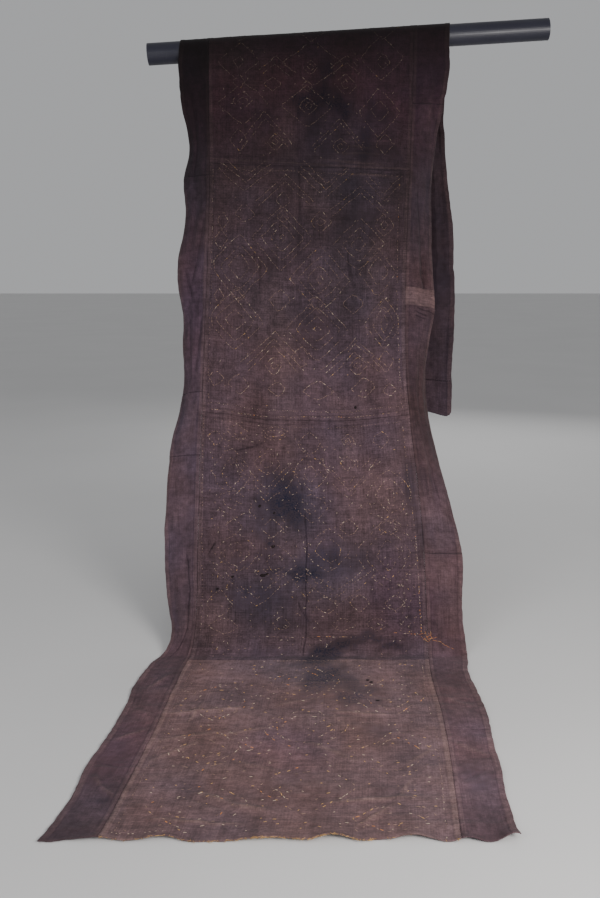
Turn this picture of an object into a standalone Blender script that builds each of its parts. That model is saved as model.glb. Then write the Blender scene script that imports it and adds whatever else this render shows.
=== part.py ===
"""Kuba cloth on a rod.

A long cloth of five raffia panels with a pieced border down each long side. It hangs over a round rod: the
back end falls straight down, the front falls in a shallow sweep to the floor, folds there and lies towards
the viewer. Metres, +Z up. The origin is on the rod's axis, halfway along it; the viewer is on the -Y side.
"""

import math

import bmesh
import bpy
import numpy as np

# Rod: plain and round, its right end a little higher
ROD_RADIUS = 0.030
ROD_LENGTH = 1.14
ROD_SIDES = 48
ROD_TILT = math.radians(3.4)
ROD_ABOVE_FLOOR = 1.545

# Cloth as cut
SHEET = 0.002
PANEL_WIDTH = 0.58
BORDER_WIDTH = 0.10
SEAM_GAP = 0.0003

# Cloth as it hangs
CLOTH_FROM_ROD_MIDDLE = -0.103
SEAT_GAP = 0.0006
FLOOR_RUN = 0.738
FOLD_TO_ROD = 0.745
FOLD_RADIUS = 0.045
FOLD_ANGLE = math.radians(27)
TURNED_SHARE = 0.6
WAIST_LOW = (0.80, 1.05)
WAIST_HIGH = (2.10, 2.36)
STEEPEST = math.radians(89.5)
HALVINGS = 60

# Grid of the sheets
PANEL_COLUMNS = 16
BORDER_COLUMNS = 5
LINE_STEP = 0.004

# The cloth seen from the front, with a row only where an outline turns. Along is the distance on the middle
# line from the near edge on the floor.
# along, sideways shift of the middle line
MIDDLE_LINE = (
    (0.00, -0.066),
    (0.37, -0.033),
    (0.66, -0.018),
    (0.80, -0.006),
    (1.03, -0.005),
    (1.55, -0.020),
    (2.16, -0.005),
    (2.50, 0.000),
    (3.10, 0.034),
    (3.65, 0.043),
)
# along, width of the panels from seam to seam
PANEL_SHOWN = (
    (0.00, 0.592),
    (0.40, 0.585),
    (0.79, 0.570),
    (1.08, 0.586),
    (1.22, 0.582),
    (1.50, 0.560),
    (1.80, 0.553),
    (2.06, 0.559),
    (2.38, 0.575),
    (2.60, 0.575),
    (3.65, 0.580),
)
# along, width of the left border
LEFT_SHOWN = (
    (0.00, 0.096),
    (0.10, 0.087),
    (0.26, 0.092),
    (0.48, 0.083),
    (0.60, 0.090),
    (0.70, 0.082),
    (0.79, 0.057),
    (0.94, 0.080),
    (1.20, 0.090),
    (1.35, 0.083),
    (1.50, 0.056),
    (1.60, 0.061),
    (1.70, 0.065),
    (1.82, 0.087),
    (2.00, 0.069),
    (2.09, 0.077),
    (2.17, 0.061),
    (2.33, 0.082),
    (2.60, 0.080),
    (3.10, 0.096),
    (3.65, 0.100),
)
# along, width of the right border
RIGHT_SHOWN = (
    (0.00, 0.096),
    (0.12, 0.091),
    (0.50, 0.092),
    (0.66, 0.088),
    (0.76, 0.092),
    (0.86, 0.088),
    (1.04, 0.100),
    (1.22, 0.080),
    (1.48, 0.054),
    (1.60, 0.061),
    (1.73, 0.083),
    (1.94, 0.071),
    (2.24, 0.073),
    (2.38, 0.099),
    (2.50, 0.099),
    (2.60, 0.101),
    (2.80, 0.082),
    (3.20, 0.104),
    (3.65, 0.102),
)

# How the cross threads run: along, rise to the right (metres per metre), dip of the middle
CROSS_THREADS = (
    (0.00, 0.000, 0.000),
    (0.72, 0.000, 0.000),
    (1.43, -0.020, 0.022),
    (2.13, -0.043, 0.000),
    (2.86, 0.040, 0.000),
    (3.65, 0.119, 0.000),
)

# Soft folds of the hanging cloth:
# low end along, high end along, across at the low end, across at the high end, half width, lift
FOLDS = (
    (0.92, 2.30, -0.215, -0.200, 0.045, 0.009),
    (0.95, 1.95, -0.105, -0.120, 0.040, -0.007),
    (0.90, 2.25, 0.020, -0.005, 0.050, 0.008),
    (1.00, 2.05, 0.120, 0.105, 0.038, -0.007),
    (0.95, 2.20, 0.225, 0.210, 0.042, 0.010),
    (1.55, 2.35, -0.345, -0.335, 0.016, -0.010),
    (1.60, 2.20, 0.345, 0.350, 0.016, -0.010),
    (2.75, 3.90, -0.150, -0.180, 0.060, 0.014),
    (2.75, 3.90, 0.080, 0.060, 0.055, -0.012),
    (2.80, 3.90, 0.250, 0.265, 0.050, 0.013),
)

# Places where the near edge stands up from the floor: across, half width, lift
EDGE_LIFTS = (
    (-0.300, 0.045, 0.005),
    (-0.190, 0.035, 0.007),
    (-0.020, 0.050, 0.005),
    (0.085, 0.028, 0.008),
    (0.215, 0.034, 0.009),
    (0.305, 0.022, 0.007),
    (0.380, 0.024, 0.011),
)
EDGE_REACH = 0.085
EDGE_DRAWN_BACK = 0.6

# Row spacing of the grid: end along, step
ROW_ZONES = (
    (0.10, 0.020),
    (0.68, 0.075),
    (0.84, 0.014),
    (2.42, 0.045),
    (2.60, 0.009),
    (3.70, 0.070),
)

# Where the pieces end along the cloth
PANEL_ENDS = (
    ("panel_floor", 0.723),
    ("panel_lower", 1.430),
    ("panel_middle", 2.130),
    ("panel_top", 2.870),
    ("panel_back", 3.650),
)
LEFT_ENDS = (1.309, 1.485, 2.096, 2.950, 3.650)
RIGHT_ENDS = (0.376, 1.041, 1.747, 1.800, 2.317, 3.555, 3.650)
PALE_PATCH = ("right", 4)

# Colours: linear red, green, blue, then roughness
COLOURS = {
    "rod": ((0.012, 0.012, 0.022), 0.42),
    "panel": ((0.062, 0.045, 0.048), 0.88),
    "light": ((0.118, 0.086, 0.080), 0.90),
    "border": ((0.058, 0.043, 0.046), 0.88),
    "patch": ((0.080, 0.060, 0.058), 0.90),
}


def clear_scene():
    """Start from an empty scene."""
    for item in list(bpy.data.objects):
        bpy.data.objects.remove(item, do_unlink=True)


def material(name):
    """A Principled material in one of the named colours."""
    colour, roughness = COLOURS[name]
    made = bpy.data.materials.new(name)
    made.use_nodes = True
    shader = made.node_tree.nodes["Principled BSDF"]
    shader.inputs["Base Color"].default_value = (*colour, 1.0)
    shader.inputs["Roughness"].default_value = roughness
    shader.inputs["Metallic"].default_value = 0.0
    return made


def smooth_step(start, end, value):
    """0 before start, 1 after end, and an even S between them."""
    t = min(max((value - start) / (end - start), 0.0), 1.0)
    return t * t * (3.0 - 2.0 * t)


def read_table(table, column, along):
    """A table's column at a distance along the cloth, on a smooth curve through its rows."""
    rows = np.array(table)
    places = rows[:, 0]
    values = rows[:, column]
    slopes = np.gradient(values, places)
    i = int(np.clip(np.searchsorted(places, along) - 1, 0, len(places) - 2))
    span = places[i + 1] - places[i]
    t = min(max((along - places[i]) / span, 0.0), 1.0)
    start = values[i] * (1 + 2 * t) * (1 - t) ** 2 + slopes[i] * span * t * (1 - t) ** 2
    end = values[i + 1] * t * t * (3 - 2 * t) - slopes[i + 1] * span * t * t * (1 - t)
    return float(start + end)


def fall_to_rod(start, axis_height, seat_radius):
    """The hanging chain from the fold to the rod: its scale and its steepness where it meets the rod."""
    low = 1.1 * FOLD_ANGLE
    high = STEEPEST
    for _ in range(HALVINGS):
        steep = (low + high) / 2
        reach = -start[0] - seat_radius * math.sin(steep)
        climb = axis_height + seat_radius * math.cos(steep) - start[1]
        by_reach = reach / (math.asinh(math.tan(steep)) - math.asinh(math.tan(FOLD_ANGLE)))
        by_climb = climb / (1 / math.cos(steep) - 1 / math.cos(FOLD_ANGLE))
        if by_climb > by_reach:
            low = steep
        else:
            high = steep
    return by_climb, steep


def hang_line(across):
    """The line of one lengthwise thread, seen from the side: distance along it, y, z and its slope angle."""
    axis = math.tan(ROD_TILT) * across
    seat = ROD_RADIUS + SEAT_GAP + SHEET / 2
    y = -FOLD_TO_ROD - FLOOR_RUN
    z = -ROD_ABOVE_FLOOR + SHEET / 2
    points = [(0.0, y, z, 0.0), (FLOOR_RUN, y + FLOOR_RUN, z, 0.0)]

    along = FLOOR_RUN
    turns = max(2, round(FOLD_RADIUS * FOLD_ANGLE / LINE_STEP))
    for k in range(1, turns + 1):
        angle = FOLD_ANGLE * k / turns
        points.append((
            along + FOLD_RADIUS * angle,
            -FOLD_TO_ROD + FOLD_RADIUS * math.sin(angle),
            z + FOLD_RADIUS * (1 - math.cos(angle)),
            angle,
        ))

    along, y, z, _ = points[-1]
    scale, steep = fall_to_rod((y, z), axis, seat)
    first = scale * math.tan(FOLD_ANGLE)
    length = scale * math.tan(steep) - first
    steps = round(length / LINE_STEP)
    for k in range(1, steps + 1):
        slope = (first + length * k / steps) / scale
        points.append((
            along + length * k / steps,
            y + scale * (math.asinh(slope) - math.asinh(math.tan(FOLD_ANGLE))),
            z + scale * (math.hypot(1, slope) - 1 / math.cos(FOLD_ANGLE)),
            math.atan(slope),
        ))

    along = points[-1][0]
    wrap = steep + math.pi / 2
    turns = round(seat * wrap / LINE_STEP)
    for k in range(1, turns + 1):
        angle = steep - wrap * k / turns
        points.append((
            along + seat * wrap * k / turns,
            -seat * math.sin(angle),
            axis + seat * math.cos(angle),
            angle,
        ))

    along, y, z, angle = points[-1]
    points.append((along + ROD_ABOVE_FLOOR, y, z - ROD_ABOVE_FLOOR, angle))
    return np.array(points).T


def shown_across(along, across):
    """Sideways place of a point of the cloth, and how far its border is turned back there."""
    middle = CLOTH_FROM_ROD_MIDDLE + read_table(MIDDLE_LINE, 1, along)
    panel = read_table(PANEL_SHOWN, 1, along)
    side = math.copysign(1.0, across)
    beyond = abs(across) - PANEL_WIDTH / 2
    if beyond <= 0.0:
        return middle + panel * across / PANEL_WIDTH, 0.0
    share = beyond / BORDER_WIDTH
    shown = read_table(LEFT_SHOWN if side < 0 else RIGHT_SHOWN, 1, along)
    hidden = math.sqrt(max(BORDER_WIDTH ** 2 - shown ** 2, 0.0))
    free = smooth_step(*WAIST_LOW, along) * (1.0 - smooth_step(*WAIST_HIGH, along))
    turned = hidden * free * TURNED_SHARE
    bend = turned / (turned + shown)
    share_across = share + bend * (math.sin(share * math.pi / 2) - share)
    return middle + side * (panel / 2 + shown * share_across), turned * (1.0 - math.cos(share * math.pi / 2))


def fold_lift(along, across):
    """How far the soft folds lift this point off the even sheet."""
    lift = 0.0
    for low, high, across_low, across_high, half_width, height in FOLDS:
        if low < along < high:
            share = (along - low) / (high - low)
            centre = across_low + (across_high - across_low) * share
            ridge = math.exp(-((across - centre) / half_width) ** 2)
            lift += height * ridge * math.sin(math.pi * share) ** 2
    return lift


def edge_lift(along, across):
    """How far the near edge's waves stand up from the floor."""
    fade = max(0.0, 1.0 - along / EDGE_REACH) ** 2
    waves = (height * math.exp(-((across - place) / width) ** 2) for place, width, height in EDGE_LIFTS)
    return fade * sum(waves)


def drape(along, across):
    """The place in space of one point of the cloth."""
    dip = read_table(CROSS_THREADS, 2, along)
    rise = read_table(CROSS_THREADS, 1, along)
    bow = 1.0 - (2.0 * across / PANEL_WIDTH) ** 2
    x, turned = shown_across(along, across)
    line, y, z, slope = hang_line(x)
    wave = edge_lift(along, across)
    distance = along + rise * across - dip * max(bow, 0.0) + EDGE_DRAWN_BACK * wave
    here_y = np.interp(distance, line, y)
    here_z = np.interp(distance, line, z)
    angle = np.interp(distance, line, slope)
    out = fold_lift(along, across) - turned
    return (
        x,
        here_y - out * math.sin(angle),
        here_z + out * math.cos(angle) + wave,
    )


def row_places():
    """Distances along the cloth of all the grid's rows: every piece's ends, and even steps between them."""
    ends = [end for _, end in PANEL_ENDS] + list(LEFT_ENDS) + list(RIGHT_ENDS)
    stops = sorted({0.0, *ends, *(end for end, _ in ROW_ZONES if end < ends[-1])})
    rows = [0.0]
    for start, end in zip(stops, stops[1:]):
        step = next(step for zone_end, step in ROW_ZONES if start < zone_end)
        count = math.ceil((end - start) / step)
        rows.extend(start + (end - start) * k / count for k in range(1, count))
        rows.append(end)
    return rows


def sheet_piece(name, along_range, across_range, columns, finish, parts):
    """One cut piece of the cloth: a grid laid on the drape, made a sheet of the cloth's thickness."""
    start, end = along_range
    left, right = across_range
    rows = [row for row in row_places() if start <= row <= end]
    rows[0] += SEAM_GAP / 2 if start > 0 else 0.0
    rows[-1] -= SEAM_GAP / 2
    mesh = bpy.data.meshes.new(name)
    shape = bmesh.new()
    bmesh.ops.create_grid(shape, x_segments=columns, y_segments=len(rows) - 1, size=0.5)
    for vert in shape.verts:
        column = (vert.co.x + 0.5) * columns
        row = round((vert.co.y + 0.5) * (len(rows) - 1))
        vert.co = drape(rows[row], left + (right - left) * column / columns)
    shape.to_mesh(mesh)
    shape.free()
    mesh.shade_smooth()
    piece = bpy.data.objects.new(name, mesh)
    parts.objects.link(piece)
    mesh.materials.append(finish)
    sheet = piece.modifiers.new("sheet", "SOLIDIFY")
    sheet.thickness = SHEET
    sheet.offset = 0.0
    return piece


def build_cloth(parts):
    """The five panels and the two pieced borders."""
    panel = material("panel")
    light = material("light")
    border = material("border")
    patch = material("patch")
    seam = PANEL_WIDTH / 2
    edge = seam + BORDER_WIDTH
    start = 0.0
    for name, end in PANEL_ENDS:
        finish = light if name == "panel_floor" else panel
        inner = seam - SEAM_GAP / 2
        sheet_piece(name, (start, end), (-inner, inner), PANEL_COLUMNS, finish, parts)
        start = end
    for side, ends in (("left", LEFT_ENDS), ("right", RIGHT_ENDS)):
        across = (-edge, -seam - SEAM_GAP / 2) if side == "left" else (seam + SEAM_GAP / 2, edge)
        start = 0.0
        for number, end in enumerate(ends, 1):
            finish = patch if (side, number) == PALE_PATCH else border
            sheet_piece(f"border_{side}_{number}", (start, end), across, BORDER_COLUMNS, finish, parts)
            start = end


def build_rod(parts):
    """The round rod, tilted in the plane of the cloth's width."""
    mesh = bpy.data.meshes.new("rod")
    shape = bmesh.new()
    bmesh.ops.create_cone(
        shape, cap_ends=True, segments=ROD_SIDES, radius1=ROD_RADIUS, radius2=ROD_RADIUS, depth=ROD_LENGTH
    )
    shape.to_mesh(mesh)
    shape.free()
    mesh.materials.append(material("rod"))
    rod = bpy.data.objects.new("rod", mesh)
    rod.rotation_euler = (0.0, math.pi / 2 - ROD_TILT, 0.0)
    parts.objects.link(rod)


def main():
    clear_scene()
    parts = bpy.data.collections.new("kuba_cloth_on_a_rod")
    bpy.context.scene.collection.children.link(parts)
    build_cloth(parts)
    build_rod(parts)


main()
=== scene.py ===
# %% [markdown]
# # A long kuba cloth over a round rod
# The real cloth is five square raffia panels sewn end to end, with a pieced border along each long side.
# It hangs over a rod: the back end falls straight, the front sweeps down to the floor and lies on it.
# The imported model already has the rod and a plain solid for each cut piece. Here each solid gets the woven
# cloth that belongs in its place, with its folds, seams, stitches and stains.

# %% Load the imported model
import math

import bmesh
import bpy
import numpy as np
from mathutils import Matrix


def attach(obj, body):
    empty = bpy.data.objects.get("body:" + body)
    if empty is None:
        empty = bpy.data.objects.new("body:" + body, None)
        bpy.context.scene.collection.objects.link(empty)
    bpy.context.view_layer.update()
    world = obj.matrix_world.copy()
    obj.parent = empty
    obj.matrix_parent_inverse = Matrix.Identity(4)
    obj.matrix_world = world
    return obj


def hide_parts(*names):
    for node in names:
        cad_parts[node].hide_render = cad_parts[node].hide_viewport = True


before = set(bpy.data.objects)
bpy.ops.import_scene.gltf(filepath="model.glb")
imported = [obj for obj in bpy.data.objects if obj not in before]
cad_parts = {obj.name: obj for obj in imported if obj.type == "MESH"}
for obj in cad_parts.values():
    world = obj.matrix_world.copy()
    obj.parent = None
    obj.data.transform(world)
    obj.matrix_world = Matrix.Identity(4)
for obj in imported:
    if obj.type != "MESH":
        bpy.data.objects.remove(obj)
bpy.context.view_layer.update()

# %% [markdown]
# ## The camera
# The picture was taken from a little under half the cloth's height, looking slightly down. A lens of 38 mm
# on a 36 mm sensor gives the same widening of the cloth towards the floor. The camera comes first, so that
# every later piece can be judged from the same place.

# %% Camera
CAMERA_PLACE = (-0.1355, -2.876, -0.627)
CAMERA_DOWN = math.radians(10.9)
SENSOR = 36
PICTURE_HEIGHT_PIXELS = 898
LENS_PIXELS = 950
CAMERA_LENS = LENS_PIXELS / PICTURE_HEIGHT_PIXELS * SENSOR


def put_in_scene(name, data):
    """A new object that holds the data, linked into the scene."""
    made = bpy.data.objects.new(name, data)
    bpy.context.collection.objects.link(made)
    return made


camera_data = bpy.data.cameras.new("camera")
camera_data.lens = CAMERA_LENS
camera_data.sensor_width = SENSOR
camera = put_in_scene("camera", camera_data)
camera.location = CAMERA_PLACE
camera.rotation_euler = (math.pi / 2 - CAMERA_DOWN, 0, 0)
bpy.context.scene.camera = camera
print("camera at", CAMERA_PLACE, "lens", round(CAMERA_LENS, 2), "mm")

# %% [markdown]
# ## The cloth as it was cut and hung
# Cloth is easiest to think of flat. A point of it has two numbers: across, from -0.39 m to 0.39 m, and
# along, from 0 at the near edge on the floor to 3.65 m at the end behind the rod. These tables say how wide
# the cloth shows at each place, how its cross threads run and where its large folds lie. They are the same
# ones that shaped the solids, so the cloth lands in the space its solids hold.

# %% Rod, cloth and drape sizes
ROD_RADIUS = 0.030
ROD_TILT = math.radians(3.4)
FLOOR_BELOW = 1.545
SHEET = 0.002
PANEL_WIDTH = 0.58
BORDER_WIDTH = 0.10
CLOTH_LENGTH = 3.65
ROD_ALONG = 2.5
SEAM_GAP = 0.0003
CLOTH_FROM_ROD_MIDDLE = -0.103
SEAT_GAP = 0.0006
FLOOR_RUN = 0.738
FOLD_TO_ROD = 0.745
FOLD_RADIUS = 0.045
FOLD_ANGLE = math.radians(27)
TURNED_SHARE = 0.6
WAIST_LOW = (0.80, 1.05)
WAIST_HIGH = (2.10, 2.36)
STEEPEST = math.radians(89.5)
LINE_STEP = 0.004
EDGE_REACH = 0.085
EDGE_DRAWN_BACK = 0.6
print("flat cloth:", PANEL_WIDTH + 2 * BORDER_WIDTH, "by", CLOTH_LENGTH, "m")

# %% Tables of the drape
# Each outline has a row only where it turns.
# along, sideways shift of the middle line
MIDDLE_LINE = (
    (0.00, -0.066),
    (0.37, -0.033),
    (0.66, -0.018),
    (0.80, -0.006),
    (1.03, -0.005),
    (1.55, -0.020),
    (2.16, -0.005),
    (2.50, 0.000),
    (3.10, 0.034),
    (3.65, 0.043),
)
# along, width of the panels from seam to seam
PANEL_SHOWN = (
    (0.00, 0.592),
    (0.40, 0.585),
    (0.79, 0.570),
    (1.08, 0.586),
    (1.22, 0.582),
    (1.50, 0.560),
    (1.80, 0.553),
    (2.06, 0.559),
    (2.38, 0.575),
    (2.60, 0.575),
    (3.65, 0.580),
)
# along, width of the left border
LEFT_SHOWN = (
    (0.00, 0.096),
    (0.10, 0.087),
    (0.26, 0.092),
    (0.48, 0.083),
    (0.60, 0.090),
    (0.70, 0.082),
    (0.79, 0.057),
    (0.94, 0.080),
    (1.20, 0.090),
    (1.35, 0.083),
    (1.50, 0.056),
    (1.60, 0.061),
    (1.70, 0.065),
    (1.82, 0.087),
    (2.00, 0.069),
    (2.09, 0.077),
    (2.17, 0.061),
    (2.33, 0.082),
    (2.60, 0.080),
    (3.10, 0.096),
    (3.65, 0.100),
)
# along, width of the right border
RIGHT_SHOWN = (
    (0.00, 0.096),
    (0.12, 0.091),
    (0.50, 0.092),
    (0.66, 0.088),
    (0.76, 0.092),
    (0.86, 0.088),
    (1.04, 0.100),
    (1.22, 0.080),
    (1.48, 0.054),
    (1.60, 0.061),
    (1.73, 0.083),
    (1.94, 0.071),
    (2.24, 0.073),
    (2.38, 0.099),
    (2.50, 0.099),
    (2.60, 0.101),
    (2.80, 0.082),
    (3.20, 0.104),
    (3.65, 0.102),
)
# along, rise to the right in metres per metre, dip of the middle
CROSS_THREADS = (
    (0.00, 0.000, 0.000),
    (0.72, 0.000, 0.000),
    (1.43, -0.020, 0.022),
    (2.13, -0.043, 0.000),
    (2.86, 0.040, 0.000),
    (3.65, 0.119, 0.000),
)
# low end, high end, across at the low end, across at the high end, half width, lift
FOLDS = (
    (0.92, 2.30, -0.215, -0.200, 0.045, 0.009),
    (0.95, 1.95, -0.105, -0.120, 0.040, -0.007),
    (0.90, 2.25, 0.020, -0.005, 0.050, 0.008),
    (1.00, 2.05, 0.120, 0.105, 0.038, -0.007),
    (0.95, 2.20, 0.225, 0.210, 0.042, 0.010),
    (1.55, 2.35, -0.345, -0.335, 0.016, -0.010),
    (1.60, 2.20, 0.345, 0.350, 0.016, -0.010),
    (2.75, 3.90, -0.150, -0.180, 0.060, 0.014),
    (2.75, 3.90, 0.080, 0.060, 0.055, -0.012),
    (2.80, 3.90, 0.250, 0.265, 0.050, 0.013),
)
# across, half width, lift of the near edge
EDGE_LIFTS = (
    (-0.300, 0.045, 0.005),
    (-0.190, 0.035, 0.007),
    (-0.020, 0.050, 0.005),
    (0.085, 0.028, 0.008),
    (0.215, 0.034, 0.009),
    (0.305, 0.022, 0.007),
    (0.380, 0.024, 0.011),
)
print("turns of the two borders:", len(LEFT_SHOWN), len(RIGHT_SHOWN))

# %% [markdown]
# A table has only a few rows, so a smooth curve is drawn through them. The slope at each row comes from its
# neighbours, and a cubic joins one row to the next. The functions take whole arrays of places at once,
# because a finely meshed cloth has hundreds of thousands of points.

# %% Read a table on a smooth curve
def smooth_step(start, end, value):
    """0 before start, 1 after end, and an even S between them."""
    share = np.clip((value - start) / (end - start), 0.0, 1.0)
    return share * share * (3.0 - 2.0 * share)


def read_table(table, column, along):
    """A table's column at distances along the cloth."""
    rows = np.array(table)
    places, values = rows[:, 0], rows[:, column]
    slopes = np.gradient(values, places)
    i = np.clip(np.searchsorted(places, along) - 1, 0, len(places) - 2)
    span = places[i + 1] - places[i]
    t = np.clip((along - places[i]) / span, 0.0, 1.0)
    start = values[i] * (1 + 2 * t) * (1 - t) ** 2 + slopes[i] * span * t * (1 - t) ** 2
    end = values[i + 1] * t * t * (3 - 2 * t) - slopes[i + 1] * span * t * t * (1 - t)
    return start + end


print("panel shows", round(float(read_table(PANEL_SHOWN, 1, 1.79)), 3), "m wide at 1.79 m along")

# %% [markdown]
# ## One thread seen from the side
# A lengthwise thread runs flat on the floor, turns up in a small fold, rises to the rod as a hanging chain
# does, goes round the rod and falls straight behind it. The chain's scale and its steepness at the rod are
# found by halving a range until both the reach and the height fit.

# %% Side line of the cloth
HALVINGS = 60


def fall_to_rod(start, axis_height, seat_radius):
    """The hanging chain from the fold to the rod: its scale and its steepness where it meets the rod."""
    low, high = 1.1 * FOLD_ANGLE, STEEPEST
    for _ in range(HALVINGS):
        steep = (low + high) / 2
        reach = -start[0] - seat_radius * math.sin(steep)
        climb = axis_height + seat_radius * math.cos(steep) - start[1]
        by_reach = reach / (math.asinh(math.tan(steep)) - math.asinh(math.tan(FOLD_ANGLE)))
        by_climb = climb / (1 / math.cos(steep) - 1 / math.cos(FOLD_ANGLE))
        low, high = (steep, high) if by_climb > by_reach else (low, steep)
    return by_climb, steep


def hang_line(x):
    """The line of the thread at x, seen from the side: distance along it, y, z and its slope angle."""
    axis = math.tan(ROD_TILT) * x
    seat = ROD_RADIUS + SEAT_GAP + SHEET / 2
    y, z = -FOLD_TO_ROD - FLOOR_RUN, -FLOOR_BELOW + SHEET / 2
    points = [(0.0, y, z, 0.0), (FLOOR_RUN, y + FLOOR_RUN, z, 0.0)]
    turns = max(2, round(FOLD_RADIUS * FOLD_ANGLE / LINE_STEP))
    for k in range(1, turns + 1):
        angle = FOLD_ANGLE * k / turns
        run, rise = FOLD_RADIUS * math.sin(angle), FOLD_RADIUS * (1 - math.cos(angle))
        points.append((FLOOR_RUN + FOLD_RADIUS * angle, -FOLD_TO_ROD + run, z + rise, angle))

    along, y, z, _ = points[-1]
    scale, steep = fall_to_rod((y, z), axis, seat)
    first = scale * math.tan(FOLD_ANGLE)
    length = scale * math.tan(steep) - first
    steps = round(length / LINE_STEP)
    for k in range(1, steps + 1):
        slope = (first + length * k / steps) / scale
        run = scale * (math.asinh(slope) - math.asinh(math.tan(FOLD_ANGLE)))
        rise = scale * (math.hypot(1, slope) - 1 / math.cos(FOLD_ANGLE))
        points.append((along + length * k / steps, y + run, z + rise, math.atan(slope)))

    along = points[-1][0]
    wrap = steep + math.pi / 2
    turns = round(seat * wrap / LINE_STEP)
    for k in range(1, turns + 1):
        angle = steep - wrap * k / turns
        place = (-seat * math.sin(angle), axis + seat * math.cos(angle))
        points.append((along + seat * wrap * k / turns, *place, angle))
    along, y, z, angle = points[-1]
    points.append((along + FLOOR_BELOW, y, z - FLOOR_BELOW, angle))
    return np.array(points).T


print("a thread in the middle is", round(hang_line(0.0)[0][-2], 3), "m long up to the back of the rod")

# %% [markdown]
# The rod tilts, so each thread has its own side line. Twenty-five of them are worked out once across the
# cloth, and any other thread is read between its two neighbours.

# %% A fan of side lines
FAN_X = np.linspace(-0.62, 0.58, 25)
FAN_STEP = 0.002
FAN_ALONG = np.arange(0.0, 4.2, FAN_STEP)


def fan_row(x):
    """y, z and slope angle of the thread at x, at even steps along it."""
    line, *values = hang_line(x)
    return [np.interp(FAN_ALONG, line, value) for value in values]


FAN = np.array([fan_row(x) for x in FAN_X]).transpose(1, 0, 2)


def side_place(x, distance):
    """y, z and slope angle for arrays of places x and distances along the threads."""
    column = np.clip((x - FAN_X[0]) / (FAN_X[1] - FAN_X[0]), 0, len(FAN_X) - 1.001)
    row = np.clip(distance / FAN_STEP, 0, len(FAN_ALONG) - 1.001)
    i, j = column.astype(int), row.astype(int)
    s, t = column - i, row - j
    near = FAN[:, i, j] * (1 - s) + FAN[:, i + 1, j] * s
    far = FAN[:, i, j + 1] * (1 - s) + FAN[:, i + 1, j + 1] * s
    y, z, angle = near * (1 - t) + far * t
    return y + np.minimum(distance, 0.0), z, angle


print("fan of side lines:", FAN.shape)

# %% [markdown]
# ## The even drape
# Now flat places turn into places in space. The borders are turned back where the photograph shows them
# narrow, the cross threads sag or rise a little, and the large soft folds push the sheet out or in.

# %% From the flat cloth to the hung cloth
def hump(away, half_width):
    """A smooth hump seen in section: 1 in its middle, and almost nothing past twice its half width."""
    return np.exp(-(away / half_width) ** 2)


def shown_across(across, along):
    """Sideways place of each point, and how far its border is turned back there."""
    half = PANEL_WIDTH / 2
    side = np.sign(across)
    share = np.maximum(np.abs(across) - half, 0.0) / BORDER_WIDTH
    panel = read_table(PANEL_SHOWN, 1, along)
    shown = np.where(side < 0, read_table(LEFT_SHOWN, 1, along), read_table(RIGHT_SHOWN, 1, along))
    hidden = np.sqrt(np.maximum(BORDER_WIDTH ** 2 - shown ** 2, 0.0))
    turned = hidden * TURNED_SHARE * smooth_step(*WAIST_LOW, along) * (1 - smooth_step(*WAIST_HIGH, along))
    bend = turned / (turned + shown)
    bent_share = share + bend * (np.sin(share * math.pi / 2) - share)
    middle = CLOTH_FROM_ROD_MIDDLE + read_table(MIDDLE_LINE, 1, along)
    x = middle + panel * np.clip(across, -half, half) / PANEL_WIDTH + side * shown * bent_share
    return x, turned * (1 - np.cos(share * math.pi / 2))


def fold_lift(across, along):
    """How far the large soft folds lift each point off the even sheet."""
    lift = np.zeros_like(across)
    for low, high, across_low, across_high, half_width, height in FOLDS:
        share = np.clip((along - low) / (high - low), 0.0, 1.0)
        centre = across_low + (across_high - across_low) * share
        lift += height * hump(across - centre, half_width) * np.sin(math.pi * share) ** 2
    return lift


def edge_lift(across, along):
    """How far the near edge's waves stand up from the floor."""
    fade = np.maximum(0.0, 1.0 - along / EDGE_REACH) ** 2
    return fade * sum(height * hump(across - place, width) for place, width, height in EDGE_LIFTS)


def even_drape(across, along):
    """The places in space of points of the cloth, before its small wrinkles."""
    bow = np.maximum(1.0 - (2.0 * across / PANEL_WIDTH) ** 2, 0.0)
    x, turned = shown_across(across, along)
    wave = edge_lift(across, along)
    rise = read_table(CROSS_THREADS, 1, along) * across
    dip = read_table(CROSS_THREADS, 2, along) * bow
    y, z, angle = side_place(x, along + rise - dip + EDGE_DRAWN_BACK * wave)
    out = fold_lift(across, along) - turned
    return np.stack([x, y - out * np.sin(angle), z + out * np.cos(angle) + wave], axis=-1)


marks = np.array([0.0, ROD_ALONG, CLOTH_LENGTH])
print("near edge, rod and back end:", even_drape(np.zeros(3), marks).round(3).tolist())

# %% [markdown]
# ## Wrinkles, creases and seams
# Raffia is stiffer than cotton. It keeps the creases of its storage, and it crumples in small flat facets
# rather than in round folds. A smooth random field gives the crumple: random numbers on a coarse net, with
# smooth values between them, in cells that are longer down the cloth where it hangs and longer across it
# where it lies. The main creases aren't random. They are placed where the photograph shows them.

# %% A smooth random field
NET = 64


def patchy(across, along, size, seed):
    """Smooth random values from -1 to 1, in cells of the given size across and along."""
    net = np.random.default_rng(seed).uniform(-1, 1, (NET, NET))
    u, v = across / size[0] + 31.7, along / size[1] + 17.3
    i, j = np.floor(u).astype(int), np.floor(v).astype(int)
    s, t = u - i, v - j
    s, t = s * s * (3 - 2 * s), t * t * (3 - 2 * t)
    i, j, right, up = i % NET, j % NET, (i + 1) % NET, (j + 1) % NET
    low = net[i, j] * (1 - s) + net[right, j] * s
    high = net[i, up] * (1 - s) + net[right, up] * s
    return low * (1 - t) + high * t


def layered(across, along, layers):
    """Random fields of several cell sizes, each with its own height, added together."""
    return sum(height * patchy(across, along, size, seed) for size, height, seed in layers)


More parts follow.
